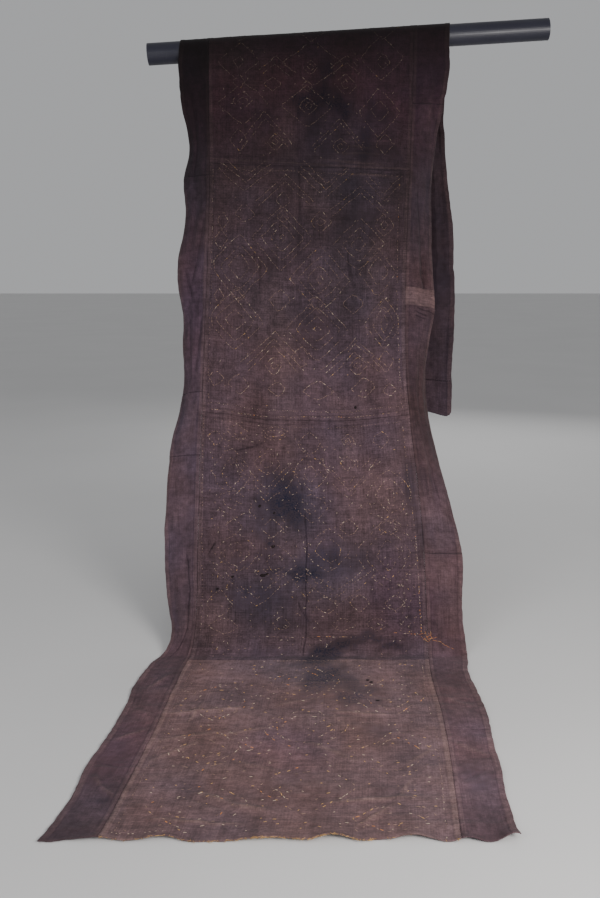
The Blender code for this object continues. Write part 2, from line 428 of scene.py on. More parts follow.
def faceted(across, along, size, seed):
    """Flat facets that meet in crisp ridges: 1 on a ridge line, falling away from it."""
    return 1.0 - 2.0 * np.abs(patchy(across, along, size, seed))


# cell size across and along, height, seed
HANGING_CRUMPLE = (((0.085, 0.210), 0.0030, 3), ((0.036, 0.085), 0.0011, 4), ((0.015, 0.034), 0.0004, 5))
FLOOR_CRUMPLE = (((0.190, 0.060), 0.0016, 6), ((0.075, 0.018), 0.0008, 7), ((0.030, 0.007), 0.00025, 8))


def crumple(across, along):
    """The small wrinkles of the stiff cloth."""
    hanging = layered(across, along, HANGING_CRUMPLE)
    hanging += 0.0007 * faceted(across, along, (0.030, 0.095), 11)
    beyond = smooth_step(0.27, 0.33, np.abs(across))
    hanging += 0.0016 * beyond * faceted(across, along, (0.022, 0.160), 12)
    lying = layered(across, along, FLOOR_CRUMPLE)
    lying += 0.0009 * faceted(across, along, (0.140, 0.022), 13)
    down = smooth_step(0.72, 0.90, along)
    return lying * (1 - down) + hanging * down


sample = crumple(*np.meshgrid(*[np.linspace(0, 2, 90)] * 2))
print("crumple is up to", round(float(np.abs(sample).max()), 4), "m")

# %% Creases placed one by one
# from across, from along, to across, to along, half width, height (a trough is below zero)
CREASES = (
    (-0.038, 2.290, -0.034, 2.200, 0.006, -0.0012),
    (-0.034, 2.200, -0.024, 1.860, 0.005, -0.0026),
    (-0.024, 1.860, -0.012, 1.450, 0.005, -0.0010),
    (-0.010, 1.165, -0.012, 0.980, 0.003, -0.0012),
    (-0.012, 0.980, -0.016, 0.745, 0.003, -0.0009),
    (-0.034, 0.908, -0.008, 0.852, 0.003, -0.0012),
    (-0.193, 1.916, -0.140, 1.866, 0.007, -0.0020),
    (-0.140, 1.872, -0.136, 1.790, 0.005, -0.0036),
    (0.097, 1.925, 0.118, 1.900, 0.006, -0.0020),
    (0.118, 1.906, 0.124, 1.832, 0.005, -0.0036),
    (0.125, 1.835, 0.150, 1.790, 0.005, -0.0016),
    (-0.245, 1.656, -0.190, 1.558, 0.007, -0.0022),
    (0.172, 1.720, 0.233, 1.596, 0.007, -0.0020),
    (0.090, 1.790, 0.120, 1.740, 0.006, -0.0014),
    (-0.110, 1.690, -0.100, 1.655, 0.006, -0.0016),
    (-0.190, 1.334, -0.118, 1.364, 0.004, -0.0024),
    (-0.240, 1.338, -0.190, 1.334, 0.005, -0.0010),
    (-0.260, 1.044, -0.245, 1.072, 0.004, -0.0030),
    (-0.350, 2.330, -0.344, 2.085, 0.008, -0.0046),
    (-0.306, 2.140, -0.300, 2.010, 0.006, -0.0022),
    (-0.305, 1.975, -0.332, 1.800, 0.008, -0.0046),
    (-0.358, 1.830, -0.338, 1.740, 0.006, -0.0034),
    (-0.296, 1.740, -0.322, 1.550, 0.008, -0.0040),
    (-0.352, 1.690, -0.346, 1.590, 0.006, -0.0020),
    (-0.365, 1.272, -0.330, 1.022, 0.010, -0.0012),
    (-0.320, 1.040, -0.311, 0.938, 0.003, -0.0014),
    (-0.311, 0.938, -0.325, 0.824, 0.004, -0.0022),
    (-0.325, 0.826, -0.356, 0.742, 0.004, -0.0026),
    (0.320, 2.090, 0.336, 1.960, 0.007, -0.0036),
    (0.336, 1.965, 0.352, 1.806, 0.007, -0.0042),
    (0.302, 1.985, 0.314, 1.870, 0.005, -0.0018),
    (0.338, 1.850, 0.350, 1.803, 0.0044, -0.0030),
    (0.298, 1.761, 0.386, 1.741, 0.004, 0.0020),
    (0.325, 1.741, 0.386, 1.731, 0.004, -0.0016),
    (0.320, 1.730, 0.356, 1.721, 0.004, -0.0014),
    (0.322, 1.718, 0.352, 1.711, 0.004, -0.0012),
    (0.348, 1.640, 0.336, 1.440, 0.010, -0.0034),
    (0.310, 1.520, 0.318, 1.400, 0.007, -0.0020),
    (0.330, 1.360, 0.352, 1.200, 0.009, -0.0024),
    (0.320, 0.980, 0.345, 0.800, 0.009, -0.0018),
    (-0.364, 0.196, -0.338, 0.160, 0.006, 0.0036),
    (-0.338, 0.160, -0.304, 0.126, 0.006, 0.0040),
    (-0.160, 0.146, -0.100, 0.106, 0.008, 0.0038),
    (-0.100, 0.106, -0.030, 0.084, 0.008, 0.0040),
    (-0.288, 0.442, -0.100, 0.476, 0.006, 0.0024),
    (-0.284, 0.330, -0.150, 0.366, 0.006, 0.0022),
    (0.060, 0.455, 0.180, 0.440, 0.006, 0.0018),
    (-0.050, 0.590, 0.120, 0.600, 0.005, 0.0014),
    (0.060, 0.110, 0.230, 0.128, 0.007, 0.0024),
    (-0.270, 0.250, -0.180, 0.342, 0.005, 0.0022),
    (-0.180, 0.342, -0.060, 0.385, 0.005, 0.0018),
    (-0.175, 0.135, -0.120, 0.100, 0.005, -0.0022),
    (-0.120, 0.100, -0.055, 0.052, 0.005, -0.0026),
    (-0.210, 0.500, -0.230, 0.400, 0.005, 0.0018),
    (0.115, 0.030, 0.185, 0.110, 0.005, 0.0026),
    (0.185, 0.110, 0.215, 0.190, 0.005, 0.0018),
    (-0.020, 0.190, 0.060, 0.120, 0.005, -0.0020),
    (0.010, 0.330, 0.120, 0.250, 0.006, 0.0018),
    (-0.120, 0.250, -0.020, 0.210, 0.005, 0.0018),
    (0.150, 0.350, 0.225, 0.400, 0.005, -0.0018),
    (0.205, 0.240, 0.262, 0.300, 0.005, 0.0020),
    (-0.060, 0.480, 0.040, 0.520, 0.005, 0.0014),
    (0.070, 0.560, 0.200, 0.500, 0.005, 0.0016),
    (-0.250, 0.620, -0.120, 0.560, 0.005, -0.0014),
    (-0.372, 0.330, -0.305, 0.380, 0.007, 0.0026),
    (-0.360, 0.480, -0.300, 0.440, 0.007, -0.0024),
    (-0.355, 0.560, -0.312, 0.640, 0.008, 0.0026),
    (-0.375, 0.250, -0.320, 0.230, 0.006, -0.0022),
    (0.300, 0.330, 0.372, 0.270, 0.006, 0.0022),
    (0.305, 0.180, 0.360, 0.220, 0.006, -0.0022),
    (0.310, 0.520, 0.370, 0.470, 0.007, 0.0022),
    (0.300, 0.660, 0.350, 0.600, 0.007, -0.0020),
    (0.020, 2.152, 0.220, 2.143, 0.0046, 0.0016),
    (0.060, 2.168, 0.205, 2.176, 0.0046, 0.0014),
    (0.090, 2.118, 0.255, 2.108, 0.0046, 0.0014),
    (0.110, 2.192, 0.180, 2.188, 0.0046, 0.0012),
    (-0.250, 2.150, -0.060, 2.156, 0.0046, -0.0010),
    (-0.240, 2.122, -0.030, 2.118, 0.0046, 0.0012),
    (-0.230, 0.060, -0.060, 0.046, 0.006, 0.0026),
    (-0.180, 2.800, -0.205, 3.420, 0.010, -0.0040),
    (0.040, 2.740, 0.052, 3.560, 0.009, 0.0036),
    (0.200, 2.900, 0.172, 3.500, 0.012, -0.0046),
    (-0.290, 3.205, 0.290, 3.215, 0.007, -0.0016),
    (0.345, 2.760, 0.338, 3.300, 0.009, -0.0036),
    (-0.340, 2.820, -0.332, 3.400, 0.009, -0.0036),
)
# width and darkness of the painted shade along the troughs of the creases
CREASE_LINE = 0.0019
CRISP = 0.0045
CRISP_DARK = 0.95
SOFT_DARK = 0.50
FULL_DEPTH = 0.0030


def near_line(across, along, start, end):
    """Distance of each point from a straight line on the flat cloth, and how far along the line it lies."""
    run = np.subtract(end, start)
    share = ((across - start[0]) * run[0] + (along - start[1]) * run[1]) / (run @ run)
    held = np.clip(share, 0.0, 1.0)
    return np.hypot(across - start[0] - held * run[0], along - start[1] - held * run[1]), held


def creases(across, along):
    """Height of the creases, painted shade along the troughs and painted highlight along the ridges."""
    height, dark, pale = np.zeros_like(across), np.zeros_like(across), np.zeros_like(across)
    wander = 0.0025 * patchy(across, along, (0.03, 0.03), 14)
    for a0, l0, a1, l1, half_width, depth in CREASES:
        away, share = near_line(across + wander, along + wander, (a0, l0), (a1, l1))
        shoulder = hump(away - 2.1 * half_width, half_width)
        swell = np.sin(math.pi * share)
        height += depth * (hump(away, half_width) - 0.3 * shoulder) * (0.45 + 0.55 * swell)
        # a trough gets a line of painted shade, a ridge gets painted highlight
        if depth < 0:
            strength = CRISP_DARK if half_width < CRISP else SOFT_DARK * min(1.0, -depth / FULL_DEPTH)
            dark = np.maximum(dark, hump(away, CREASE_LINE) * strength)
        else:
            pale = np.maximum(pale, 0.8 * hump(away, 0.7 * half_width) * swell ** 0.5)
    return height, dark, pale


print("creases placed by hand:", len(CREASES))

# %% [markdown]
# Seams are where a hand-made cloth shows how it was made. Each raw edge is turned under and stitched down,
# so there is a slightly raised band beside the seam and a narrow groove at the seam and at each stitched
# line. The outer edges have a hem 15 mm wide. All this is part of one height function, so neighbouring
# pieces meet without a step.

# %% Seams and hems
PANEL_ENDS = (
    ("panel_floor", 0.723),
    ("panel_lower", 1.430),
    ("panel_middle", 2.130),
    ("panel_top", 2.870),
    ("panel_back", 3.650),
)
LEFT_ENDS = (1.309, 1.485, 2.096, 2.950, 3.650)
RIGHT_ENDS = (0.376, 1.041, 1.747, 1.800, 2.317, 3.555, 3.650)
SEAM = PANEL_WIDTH / 2
EDGE = SEAM + BORDER_WIDTH
HEM = 0.015
FELLED = 0.011
BAND_RISE = 0.0006
BAND_SLOPE = 0.003
# across, along from, along to, strength of the painted shade: stitched-down lines beside the long seams
SEAM_LINES = (
    (-0.3025, 0.00, 1.47, 0.50),
    (-0.2965, 0.78, 1.43, 0.42),
    (-0.2835, 0.76, 1.43, 0.50),
    (-0.2770, 0.00, 2.12, 0.25),
    (-0.2790, 2.14, 3.64, 0.22),
    (0.2780, 0.00, 3.64, 0.22),
    (0.3010, 0.00, 3.64, 0.35),
    (0.3070, 1.70, 2.45, 0.30),
)
# along, strength of the painted shade: stitched-down lines beside the cross seams of the panels
CROSS_LINES = (
    (0.732, 0.15), (0.800, 0.30), (0.812, 0.25), (1.418, 0.50), (1.444, 0.45), (2.118, 0.20), (2.142, 0.16),
    (2.858, 0.30), (2.882, 0.30),
)
# where the patch on the right border ends, and how dark the painted shade in those seams is: they hardly show
FAINT_ENDS = {1.747: 0.35, 1.800: 0.22}
# how dark the painted shade in the other seams of the borders is
SEAM_DARK = 0.7


def raised_band(away, width):
    """Height of the doubled cloth within a width of a seam or an edge."""
    return BAND_RISE * smooth_step(width, width - BAND_SLOPE, away)


def seams(across, along):
    """Height of the seams and hems, and the painted shade in their grooves."""
    from_seam = np.abs(across) - SEAM
    from_edge = EDGE - np.abs(across)
    uneven = 0.75 + 0.25 * patchy(across, along, (0.05, 0.012), 15)
    wander = 0.0009 * patchy(across, along, (0.2, 0.05), 16)
    # painted shade in the groove of the long seams, then at the hem's inner line and along the stitched-down
    # lines
    dark = 0.55 * hump(from_seam, 0.0016) * (0.7 + 0.6 * patchy(across, along, (0.2, 0.07), 20))
    raised = raised_band(np.abs(from_seam), FELLED) + raised_band(from_edge, HEM)
    dark = np.maximum(dark, 0.35 * hump(from_edge - HEM + wander, 0.0014) * uneven)
    fade = 1 - 0.5 * smooth_step(2.12, 2.30, along) * smooth_step(2.60, 2.50, along)
    for place, low, high, strength in SEAM_LINES:
        held = fade * smooth_step(low, low + 0.02, along) * smooth_step(high, high - 0.02, along)
        dark = np.maximum(dark, strength * held * uneven * hump(across - place + wander, 0.0013))
    on_panel = from_seam < 0
    for _, end in PANEL_ENDS:
        dark = np.maximum(dark, 0.45 * on_panel * hump(along - end, 0.0015))
        raised += on_panel * raised_band(np.abs(along - end), FELLED)
    for place, strength in CROSS_LINES:
        dark = np.maximum(dark, strength * on_panel * uneven * hump(along - place + wander, 0.0014))
    for side, ends in ((-1, LEFT_ENDS), (1, RIGHT_ENDS)):
        on_border = (from_seam >= 0) & (across * side > 0)
        for end in ends:
            deep = FAINT_ENDS.get(end, SEAM_DARK)
            dark = np.maximum(dark, deep * on_border * hump(along - end, 0.0015))
            dark = np.maximum(dark, 0.5 * deep * on_border * uneven * hump(along - end + 0.008, 0.0014))
            raised += 0.0005 * on_border * smooth_step(0.008, 0.006, np.abs(along - end + 0.004))
    return raised - 0.0008 * dark, dark


def puckers(across, along):
    """Small gathers where thread pulls the cloth along the seams and the hem."""
    by_seam = np.exp(-np.abs(np.abs(across) - SEAM) / 0.014)
    by_hem = np.exp(-np.abs(EDGE - HEM - np.abs(across)) / 0.012)
    gathers = 0.0011 * by_seam * patchy(across, along, (0.05, 0.011), 17)
    gathers += 0.0014 * by_hem * patchy(across, along, (0.05, 0.016), 18)
    for _, end in PANEL_ENDS[:-1]:
        by_end = np.exp(-np.abs(along - end) / 0.014) * (np.abs(across) < SEAM)
        gathers += 0.0010 * by_end * patchy(across, along, (0.012, 0.05), 19)
    return gathers


print("stitched-down lines:", len(SEAM_LINES) + len(CROSS_LINES))

# %% [markdown]
# The wrinkles are pushed out along the cloth's own normal. Two places allow no dent: the rod and the floor,
# because the cloth would sink into them. There the height is kept above almost nothing.

# %% The finished surface
ROD_ZONE = (2.40, 2.48, 2.62, 2.70)
FLOOR_ZONE = (0.74, 0.82)
SPARE = 0.0002
DIRECTION_STEP = 0.0012
# cell size across and along, shift, seed: how the outer edges and the near edge wander
RAGGED_SIDES = (((1, 0.045), 0.0030, 22), ((1, 0.014), 0.0012, 23))
UNEVEN_END = (((0.050, 1), 0.0035, 24), ((0.012, 1), 0.0014, 25))


def outer_wobble(across, along):
    """The outer edges and the near edge aren't cut straight: how far each point shifts on the flat cloth."""
    outer = smooth_step(0.345, 0.39, np.abs(across)) * np.sign(across)
    ragged = layered(across * 0, along, RAGGED_SIDES)
    near = 1 - smooth_step(0.0, 0.030, along)
    uneven = layered(across, along * 0, UNEVEN_END)
    corner = smooth_step(0.300, EDGE, across) * smooth_step(3.50, CLOTH_LENGTH, along)
    rounded = smooth_step(0.372, EDGE, across) * smooth_step(3.635, CLOTH_LENGTH, along)
    return across + outer * ragged - 0.006 * rounded, along + near * uneven + 0.018 * corner - 0.005 * rounded


def wrinkles(across, along):
    """Everything that lifts the cloth off the even drape."""
    height = crumple(across, along) + creases(across, along)[0] + puckers(across, along)
    over_rod = smooth_step(*ROD_ZONE[:2], along) * smooth_step(*ROD_ZONE[:1:-1], along)
    height *= 1 - 0.75 * over_rod
    seat = np.maximum(height, 0) + np.minimum(height, 0) * (1 - over_rod)
    on_floor = 1 - smooth_step(*FLOOR_ZONE, along)
    lifted = np.maximum(seat + 0.0006, 0.0)
    height = seat * (1 - on_floor) + lifted * on_floor + seams(across, along)[0]
    return np.maximum(height, -SPARE - 0.02 * (1 - np.maximum(over_rod, on_floor)))


def directions(place, across, along):
    """The surface's own directions across and along, and its normal, by small steps."""
    step = DIRECTION_STEP
    right = place(across + step, along) - place(across - step, along)
    ahead = place(across, along + step) - place(across, along - step)
    normal = np.cross(right, ahead)
    return right / (2 * step), ahead / (2 * step), normal / np.linalg.norm(normal, axis=-1, keepdims=True)


def cloth_place(across, along):
    """The finished cloth's place in space for points of the flat cloth."""
    height = wrinkles(across, along)
    across, along = outer_wobble(across, along)
    normal = directions(even_drape, across, along)[2]
    return even_drape(across, along) + normal * height[..., None]


middle = cloth_place(np.zeros(5), np.linspace(0.1, 2.4, 5))
print("points down the middle:", middle.round(4).tolist())

# %% [markdown]
# ## Stains, wear, dye, painted shade and painted highlight
# The cloth is old. It has large blue-black stains with ragged edges, small dark spots, paler worn hems, and
# its dye is uneven. Painted shade darkens the grooves, the troughs of creases and much of the cloth towards
# the rod, and painted highlight pales the ridges, with some wear on the crumple's ridges. These are painted
# as numbers on the mesh's points: one for stain, one for the shade in grooves, one for wear with highlight
# and one for dye with shade. The material reads them, so they stay on the cloth from all sides.

# %% Stains
# across, along, half width across, half width along, strength
STAINS = (
    (0.047, 2.400, 0.018, 0.040, 0.85),
    (0.034, 2.340, 0.034, 0.034, 1.00),
    (0.062, 2.312, 0.042, 0.030, 1.00),
    (0.100, 2.292, 0.028, 0.022, 0.85),
    (-0.014, 2.306, 0.036, 0.030, 1.00),
    (-0.042, 2.306, 0.020, 0.022, 0.80),
    (0.215, 2.285, 0.030, 0.030, 0.50),
    (0.005, 2.250, 0.020, 0.045, 0.45),
    (-0.120, 2.255, 0.040, 0.050, 0.25),
    (0.172, 2.300, 0.018, 0.045, 0.60),
    (0.165, 2.212, 0.020, 0.036, 0.62),
    (0.158, 2.168, 0.024, 0.024, 0.70),
    (0.080, 2.180, 0.070, 0.028, 0.40),
    (-0.020, 2.130, 0.130, 0.022, 0.25),
    (0.240, 2.180, 0.024, 0.020, 0.35),
    (0.160, 1.990, 0.050, 0.060, 0.35),
    (-0.110, 1.850, 0.050, 0.040, 0.25),
    (0.030, 1.690, 0.050, 0.050, 0.35),
    (-0.088, 1.268, 0.034, 0.036, 0.55),
    (-0.058, 1.236, 0.044, 0.044, 0.80),
    (-0.062, 1.188, 0.050, 0.046, 0.95),
    (-0.036, 1.152, 0.034, 0.034, 0.60),
    (-0.118, 1.202, 0.030, 0.036, 0.50),
    (-0.125, 1.130, 0.040, 0.044, 0.35),
    (-0.100, 1.065, 0.034, 0.040, 0.45),
    (0.036, 1.046, 0.042, 0.028, 0.55),
    (-0.022, 1.002, 0.054, 0.028, 0.90),
    (-0.060, 0.996, 0.055, 0.012, 0.70),
    (0.060, 1.070, 0.030, 0.030, 0.30),
    (0.100, 1.020, 0.060, 0.040, 0.30),
    (-0.130, 0.920, 0.100, 0.050, 0.40),
    (-0.060, 0.850, 0.130, 0.030, 0.30),
    (-0.200, 1.020, 0.050, 0.014, 0.40),
    (0.272, 1.235, 0.016, 0.085, 0.55),
    (0.285, 1.120, 0.013, 0.070, 0.40),
    (-0.104, 1.078, 0.011, 0.010, 0.80),
    (-0.240, 0.942, 0.007, 0.008, 0.70),
    (-0.198, 0.970, 0.008, 0.007, 0.75),
    (-0.165, 0.935, 0.007, 0.008, 0.70),
    (-0.318, 0.118, 0.014, 0.010, 0.55),
    (0.160, 0.505, 0.010, 0.006, 0.70),
    (0.210, 0.778, 0.044, 0.015, 0.85),
    (0.135, 0.804, 0.060, 0.013, 0.70),
    (0.078, 0.780, 0.046, 0.020, 0.90),
    (0.040, 0.752, 0.050, 0.022, 1.00),
    (0.026, 0.716, 0.050, 0.034, 0.95),
    (0.050, 0.650, 0.048, 0.046, 1.00),
    (0.030, 0.590, 0.044, 0.050, 0.85),
    (0.100, 0.590, 0.040, 0.040, 0.70),
    (0.112, 0.515, 0.044, 0.050, 0.75),
    (0.020, 0.520, 0.034, 0.040, 0.45),
    (-0.020, 0.690, 0.030, 0.020, 0.40),
    (0.070, 0.640, 0.012, 0.012, 0.90),
    (0.020, 0.610, 0.026, 0.020, 0.50),
    (0.125, 0.540, 0.040, 0.030, 0.40),
    (-0.100, 0.760, 0.060, 0.020, 0.35),
    (0.150, 0.380, 0.040, 0.030, 0.35),
    (0.020, 0.160, 0.090, 0.050, 0.18),
    (0.340, 0.200, 0.030, 0.060, 0.35),
    (-0.350, 0.260, 0.030, 0.090, 0.25),
    (-0.200, 3.100, 0.070, 0.110, 0.50),
    (0.120, 3.380, 0.090, 0.060, 0.55),
    (0.340, 3.250, 0.030, 0.160, 0.35),
)
# cell size across and along, shift, seed: how far a stain's ragged edge wanders
STAIN_ACROSS = (((0.020, 0.030), 0.017, 31), ((0.009, 0.014), 0.009, 32))
STAIN_ALONG = (((0.020, 0.030), 0.017, 33), ((0.009, 0.014), 0.009, 34))


def stained(across, along):
    """How stained each point is, from 0 to 1."""
    shift_across = layered(across, along, STAIN_ACROSS)
    shift_along = layered(across, along, STAIN_ALONG)
    clean = np.ones_like(across)
    for place, height, wide, tall, strength in STAINS:
        loose = min(1.0, wide / 0.03)
        away_across = (across + loose * shift_across - place) / wide
        away_along = (along + loose * shift_along - height) / tall
        clean *= 1 - strength * smooth_step(1.45, 0.30, np.hypot(away_across, away_along))
    return 1 - clean


print("stains placed by hand:", len(STAINS))

# %% Tone with painted shade, and wear with painted highlight
# along, tone of the left border, the panels and the right border: mostly painted shade, which darkens the
# cloth towards the rod
SHADE_TONES = (
    (0.00, 0.65, 0.85, 0.85),
    (0.27, 1.20, 1.00, 1.40),
    (0.50, 1.10, 1.05, 0.90),
    (0.72, 0.95, 1.05, 1.00),
    (0.80, 0.85, 0.85, 0.85),
    (1.10, 1.10, 0.90, 0.95),
    (1.50, 0.95, 0.95, 0.55),
    (1.70, 0.90, 0.80, 0.75),
    (2.05, 0.45, 0.45, 0.50),
    (2.25, 0.20, 0.33, 0.40),
    (2.40, 0.10, 0.27, 0.33),
    (2.53, 0.05, 0.08, 0.10),
    (2.75, 0.55, 0.60, 0.25),
    (3.20, 0.85, 0.90, 0.60),
    (3.65, 0.95, 1.00, 0.70),
)
# side, along from, along to, factor: strips of the borders painted darker or paler
STRIP_TONES = (
    (1, 0.376, 1.041, 1.10), (1, 1.041, 1.747, 0.95), (1, 1.747, 1.800, 0.90), (1, 1.800, 2.317, 1.05),
    (1, 2.317, 2.700, 0.85), (-1, 1.309, 1.485, 1.05), (-1, 2.096, 2.700, 0.90),
)
# across, along, half width, half height, factor: soft places painted darker or paler
TONE_SPOTS = (
    (0.20, 2.30, 0.10, 0.12, 1.20),
    (-0.20, 2.42, 0.15, 0.08, 0.85),
    (0.12, 1.85, 0.07, 0.25, 0.85),
    (-0.02, 1.55, 0.17, 0.09, 1.12),
    (-0.04, 1.04, 0.04, 0.04, 1.15),
    (-0.20, 0.66, 0.08, 0.08, 1.18),
)
# across, along, half width, half height, strength: places where the dye turned bluer
COOL_SPOTS = (
    (0.09, 2.18, 0.20, 0.17, 0.90),
    (0.13, 1.85, 0.10, 0.20, 0.80),
    (-0.10, 1.74, 0.11, 0.11, 0.70),
    (-0.06, 1.17, 0.12, 0.13, 0.85),
    (0.02, 0.98, 0.14, 0.10, 0.80),
    (-0.13, 0.92, 0.09, 0.10, 0.65),
    (0.02, 0.68, 0.13, 0.13, 0.80),
    (-0.35, 0.06, 0.09, 0.13, 0.90),
    (0.34, 0.12, 0.06, 0.10, 0.50),
    (0.34, 1.10, 0.06, 0.07, 0.80),
)
# the same for places that turned redder
WARM_SPOTS = (
    (0.22, 0.92, 0.10, 0.16, 0.35),
    (-0.34, 0.30, 0.06, 0.14, 0.30),
    (-0.02, 0.30, 0.10, 0.12, 0.30),
    (-0.34, 1.75, 0.05, 0.30, 0.35),
)
# cell size across and along, strength, seed: bands and patches where the dye took unevenly
DYE_BANDS = (((0.016, 0.50), 0.07, 41), ((0.50, 0.018), 0.07, 42))
DYE_PATCHES = (((0.080, 0.110), 0.09, 43), ((0.026, 0.040), 0.07, 44))
DARKEST_TONE = 0.05
# along: a pale line just above the seam between the second and the top panel
PALE_LINE = 2.139


def soft_spots(spots, across, along):
    """The strongest of some soft round spots at each point, from 0 to 1."""
    found = np.zeros_like(across)
    for place, height, wide, tall, strength in spots:
        away = np.hypot((across - place) / wide, (along - height) / tall)
        found = np.maximum(found, strength * smooth_step(1.3, 0.3, away))
    return found


def dye_and_shade(across, along):
    """Brightness of the cloth: the long change, mostly painted shade that darkens towards the rod, soft dye
    bands and patches, and the strips of the borders.
    """
    bands = layered(across, along, DYE_BANDS)
    patches = layered(across, along, DYE_PATCHES)
    strip = np.where(across < -SEAM, read_table(SHADE_TONES, 1, along), read_table(SHADE_TONES, 2, along))
    strip = np.where(across > SEAM, read_table(SHADE_TONES, 3, along), strip)
    for side, low, high, factor in STRIP_TONES:
        strip = np.where((across * side > SEAM) & (along > low) & (along < high), strip * factor, strip)
    for place, height, wide, tall, factor in TONE_SPOTS:
        strip = strip * factor ** soft_spots([(place, height, wide, tall, 1.0)], across, along)
    return np.maximum(strip, DARKEST_TONE) * (1 + bands + patches)


def pale_wear_and_highlight(across, along):
    """Pale wear on hems, seam bands and the near edge; paler ridges of folds, which are wear with painted
    highlight on the crumple and painted highlight on the crests of the creases.
    """
    from_edge = EDGE - np.abs(across)
    hem = smooth_step(HEM, HEM - 0.004, from_edge) * (0.5 + 0.3 * patchy(across, along, (0.02, 0.06), 45))
    rim = smooth_step(0.004, 0.0, from_edge)
    near = smooth_step(0.010, 0.0, along) * (0.4 + 0.4 * patchy(across, along, (0.05, 0.02), 46))
    band = 0.45 * smooth_step(FELLED, FELLED - 0.002, np.abs(np.abs(across) - SEAM))
    # ridges of the crumple paler by their height: wear and painted highlight
    ridge = np.clip(crumple(across, along) / 0.0045, 0, 1) * 0.5
    wander = 0.006 * patchy(across, along * 0, (0.2, 1), 47)
    pale = 0.9 * hump(along - PALE_LINE - wander, 0.0022) * (np.abs(across) < SEAM)
    # painted highlight on the crests of the creases
    crest = creases(across, along)[2]
    return np.clip(np.maximum.reduce([hem, 0.8 * rim, near, band, ridge, pale, crest]), 0, 1)


print("tone of the panels at the near edge and over the rod:", SHADE_TONES[0][2], SHADE_TONES[11][2])

# %% [markdown]
# ## Materials
# Woven raffia is matt, with a faint sheen along the fibres. Its look comes from three scales: the plain
# weave of about 1.6 mm, single threads that took the dye differently and show as thin streaks both ways,
# and soft blotches of dye. The material reads the flat cloth's own UV map in metres, so the weave follows
# every fold and keeps its real size.

# %% Small helpers for nodes
def new_finish(name):
    """A material with its node tree and its Principled shader."""
    made = bpy.data.materials.new(name)
    made.use_nodes = True
    return made, made.node_tree, made.node_tree.nodes["Principled BSDF"]


def fill_inputs(tree, node, inputs):
    """Each input of a node given a value or joined to another node's output."""
    for key, value in inputs.items():
        if isinstance(value, bpy.types.NodeSocket):
            tree.links.new(value, node.inputs[key])
        else:
            node.inputs[key].default_value = value


def add_node(tree, kind, inputs, **settings):
    """A shader node with its settings and its inputs filled."""
    made = tree.nodes.new("ShaderNode" + kind)
    for key, value in settings.items():
        setattr(made, key, value)
    fill_inputs(tree, made, inputs)
    return made


def reckon(tree, operation, first, second=0.0, third=0.0):
    """The output of one Math node."""
    return add_node(tree, "Math", {0: first, 1: second, 2: third}, operation=operation).outputs[0]


def blend_colours(tree, share, first, second, kind="MIX"):
    """The output of one colour Mix node."""
    made = add_node(tree, "Mix", {0: share, 6: first, 7: second}, data_type="RGBA", blend_type=kind)
    return made.outputs[2]


def tinted(tree, share, colour, tint):
    """The colour with a share of it multiplied by a tint."""
    return blend_colours(tree, share, colour, blend_colours(tree, 1.0, colour, tint, "MULTIPLY"))


def brightened(tree, colour, bright):
    """The colour multiplied by one number."""
    grey = add_node(tree, "CombineColor", {0: bright, 1: bright, 2: bright}).outputs[0]
    return blend_colours(tree, 1.0, colour, grey, "MULTIPLY")


def bumped(tree, strength, distance, height, **beneath):
    """The normal of one Bump node, over the Normal of another where one is given."""
    inputs = {"Strength": strength, "Distance": distance, "Height": height, **beneath}
    return add_node(tree, "Bump", inputs).outputs[0]


def stretched_noise(tree, place, stretch, detail):
    """Noise from a place that is first stretched: its value around 0.5."""
    moved = add_node(tree, "VectorMath", {0: place, 1: stretch}, operation="MULTIPLY").outputs[0]
    return add_node(tree, "TexNoise", {"Vector": moved, "Scale": 1.0, "Detail": detail}).outputs["Fac"]


def painted(tree, name):
    """A number that was painted on the mesh's points."""
    return add_node(tree, "Attribute", {}, attribute_name=name).outputs["Fac"]


print("node helpers ready")

# %% Raffia
WEAVE_PITCH = 0.0016
STAIN_TINT = (0.14, 0.20, 0.34, 1.0)
# the painted shade in the grooves of seams and hems and in the troughs of creases
GROOVE_SHADE_TINT = (0.34, 0.32, 0.38, 1.0)
BROWN_TINT = (1.02, 0.74, 0.86, 1.0)
BLUE_TINT = (0.88, 1.03, 1.14, 1.0)


